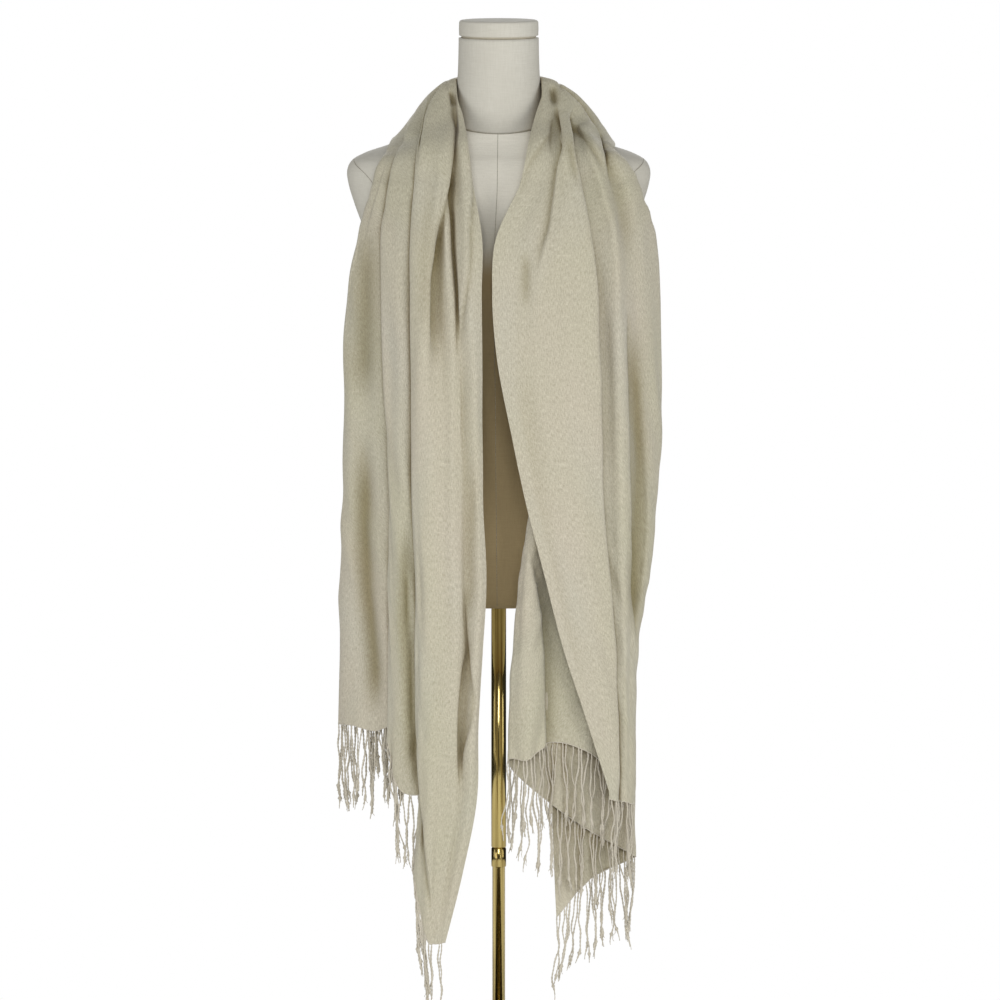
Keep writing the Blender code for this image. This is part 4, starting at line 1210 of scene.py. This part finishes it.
POLE_TOP = 722.7
UPPER_RADIUS = 9.3
UPPER_FOOT = 412.3
SLEEVE_RADIUS = 9.25
SLEEVE_FOOT = 388
SLEEVE_TOP = 412
ROD_RADIUS = 8
ROD_FOOT = 48.3
dress(turned_object("pole_tube", [
    (0.2, POLE_TOP),
    (UPPER_RADIUS, POLE_TOP),
    (UPPER_RADIUS, UPPER_FOOT + 1.2),
    (UPPER_RADIUS - 0.5, UPPER_FOOT + 0.8),
    (UPPER_RADIUS - 0.7, UPPER_FOOT),
    (0.2, UPPER_FOOT),
], brass), "brass", "pole_upper")
dress(turned_object("pole_rod", [
    (0.2, SLEEVE_TOP),
    (SLEEVE_RADIUS - 0.7, SLEEVE_TOP),
    (SLEEVE_RADIUS - 0.5, SLEEVE_TOP - 0.6),
    (SLEEVE_RADIUS, SLEEVE_TOP - 1.1),
    (SLEEVE_RADIUS, SLEEVE_FOOT + 0.8),
    (SLEEVE_RADIUS - 0.8, SLEEVE_FOOT),
    (ROD_RADIUS, SLEEVE_FOOT - 0.2),
    (ROD_RADIUS, ROD_FOOT),
    (0.2, ROD_FOOT),
], brass), "brass", "pole_lower")

COLLAR_TOP = 48
COLLAR_RADIUS = 12
BASE_TOP = 14
BASE_RADIUS = 150
BASE_SIDES = 160
dress(turned_object("foot", [
    (0.2, COLLAR_TOP),
    *rounded(COLLAR_RADIUS, COLLAR_TOP, 3),
    (13.5, 36),
    (17, 25),
    (21, 17),
    (26, BASE_TOP + 0.2),
    (30, BASE_TOP),
    (90, BASE_TOP),
    *rounded(BASE_RADIUS, BASE_TOP, 4.4),
    (BASE_RADIUS, 0.8),
    (BASE_RADIUS - 0.8, 0),
    (0.2, 0),
], brass, BASE_SIDES), "brass", "base")

# Seams of the form: the neckline, the four long ones and the covers of the two arm holes. The
# front one runs a little to the left, by its height.
SEAM_RADIUS = 0.34
SEAM_SIDES = 6
SEAM_START = 3
ARM_HOLE_UP = 1237
ARM_HOLE_REACH = (62, 40)
ARM_SEAM_FOOT = 1198
neckline = loft_form((
    FormRing(1326.3, 60.9, 56.9, 58.9, 0.26), FormRing(1326.4, 60.9, 56.9, 58.9, 0.26),
), NECK_SQUARENESS)[0]
seams = [tube(neckline, SEAM_RADIUS, SEAM_SIDES, (0, 0, 1), closed=True)]
SEAM_X = (
    (1326, -0.9), (1278, -1.5), (1240, -2.1), (1215, -3.4), (1190, -4.6), (960, -4), (726, -2))
front = body_rings[SEAM_START:, 3 * FORM_SIDES // 4].copy()
front[:, 0] = smooth(*zip(*SEAM_X), front[:, 2])
back = body_rings[SEAM_START:, FORM_SIDES // 4]
seams += [tube(line, SEAM_RADIUS, SEAM_SIDES, (1, 0, 0)) for line in (front, back)]
across, tall = ARM_HOLE_REACH
for hand in (-1, 1):
    oval = [torso_side(hand, across * math.cos(t), ARM_HOLE_UP + tall * math.sin(t))
            for t in circle(TURNED_SIDES)]
    seams.append(tube(oval, SEAM_RADIUS, SEAM_SIDES, (1, 0, 0), closed=True))
    side = body_rings[SEAM_START:, 0 if hand > 0 else FORM_SIDES // 2]
    seams.append(tube(side[side[:, 2] < ARM_SEAM_FOOT], SEAM_RADIUS, SEAM_SIDES, (0, 1, 0)))
dress(tubes_object("form_seams", seams, seam), "linen")

# ---------------------------------------------------------------- shawl

grid, slots, angles = neck_grid()
grid, hollow = fold_neck(grid, slots, angles)
normals = normals_of(grid, 1)
u, v = distances(grid, 1), distances(grid)
neck_cloth = shell_object(
    "cloth_neck", grid[1:-1], normals[1:-1], 1, cashmere, (u[1:-1], v[1:-1]), hollow[1:-1])
dress(neck_cloth, "cashmere", "shawl_neck")

for name, folds, section, hand, turns, creases, pleats, length in (
    ("left", LEFT_FOLDS, ROLL_LEFT, -1, LEFT_TURNS, LEFT_CREASES, LEFT_PLEATS, 0.91),
    ("right", RIGHT_FOLDS, ROLL_RIGHT, 1, RIGHT_TURNS, RIGHT_CREASES, RIGHT_PLEATS, 0.90),
):
    grid, slots, roll_slots = fall_grid(folds, section, hand, turns)
    grid, hollow = fold_fall(grid, slots, roll_slots, hand, creases, pleats, SEED + hand)
    normals = normals_of(grid, hand)
    u, v = distances(grid, 1), distances(grid)
    cloth = shell_object(
        "cloth_" + name, grid[1:], normals[1:], hand, cashmere, (u[1:], v[1:]), hollow[1:])
    dress(cloth, "cashmere", "shawl_" + name)
    ends = fringe_object("ends_" + name, grid[-1], hand, fringe, FRINGE_SEED + hand)
    dress(ends, "cashmere", "fringe_" + name)

# ---------------------------------------------------------------- stage

AMBIENT = 0.36
GLOSSY_AMBIENT = 0.03
LIGHTS_AIM_UP = 0.9
FLOOR_RADIUS = 1500

# Soft boxes: bearing from the front in degrees, distance, height and size in metres, and power.
Softbox = namedtuple("Softbox", "azimuth away up wide tall watts")
SOFTBOXES = [Softbox(*row) for row in (
    (0, 2.8, 1.9, 1.2, 1.2, 26),
    (-38, 2.6, 0.7, 1.1, 1.3, 17),
    (38, 2.6, 0.7, 1.1, 1.3, 18),
    (66, 2.6, 1.0, 0.9, 1.6, 8),
    (-72, 2.6, 1.0, 0.9, 1.6, 4),
    (180, 2.8, 1.9, 1.6, 1.4, 50),
)]

scene = bpy.context.scene
world = bpy.data.worlds.new("studio")
scene.world = world
world.use_nodes = True
tree = world.node_tree
sky = tree.nodes["Background"]
sky.inputs["Color"].default_value = (1, 1, 1, 1)
rays = tree.nodes.new("ShaderNodeLightPath").outputs
strength = AMBIENT
for ray, seen in (("Is Glossy Ray", GLOSSY_AMBIENT), ("Is Camera Ray", 1.0)):
    inputs = {"Factor": rays[ray], "A": strength, "B": seen}
    strength = add_node(tree, "Mix", inputs, {}).outputs["Result"]
tree.links.new(strength, sky.inputs["Strength"])

for softbox in SOFTBOXES:
    light = bpy.data.lights.new("softbox", "AREA")
    light.shape = "RECTANGLE"
    light.size, light.size_y = softbox.wide, softbox.tall
    light.energy = softbox.watts
    box = bpy.data.objects.new("softbox", light)
    scene.collection.objects.link(box)
    turn = math.radians(softbox.azimuth)
    box.location = (
        softbox.away * math.sin(turn), -softbox.away * math.cos(turn), softbox.up)
    box.rotation_mode = "QUATERNION"
    aim = Vector((0, 0, LIGHTS_AIM_UP)) - box.location
    box.rotation_quaternion = aim.to_track_quat("-Z", "Y")
    box.visible_camera = False

turns = circle(TURNED_SIDES)
ring = FLOOR_RADIUS * np.stack((np.cos(turns), np.sin(turns), turns * 0), axis=1)
floor = mesh_object("floor", ring, [list(range(TURNED_SIDES))], floor_skin())

lens = bpy.data.cameras.new("camera")
lens.sensor_width = 36
lens.angle = 2 * math.atan(PICTURE_SIDE / 2 / CAMERA_DISTANCE)
lens.clip_end = 100
camera = bpy.data.objects.new("camera", lens)
scene.collection.objects.link(camera)
c, s = math.cos(CAMERA_ELEVATION), math.sin(CAMERA_ELEVATION)
target = Vector((PICTURE_CENTRE_X, 0, PICTURE_CENTRE_UP / c))
camera.location = (target + Vector((0, -c, s)) * CAMERA_DISTANCE) * MM
camera.rotation_euler = (math.pi / 2 - CAMERA_ELEVATION, 0, 0)
scene.camera = camera
scene.view_settings.view_transform = "Standard"
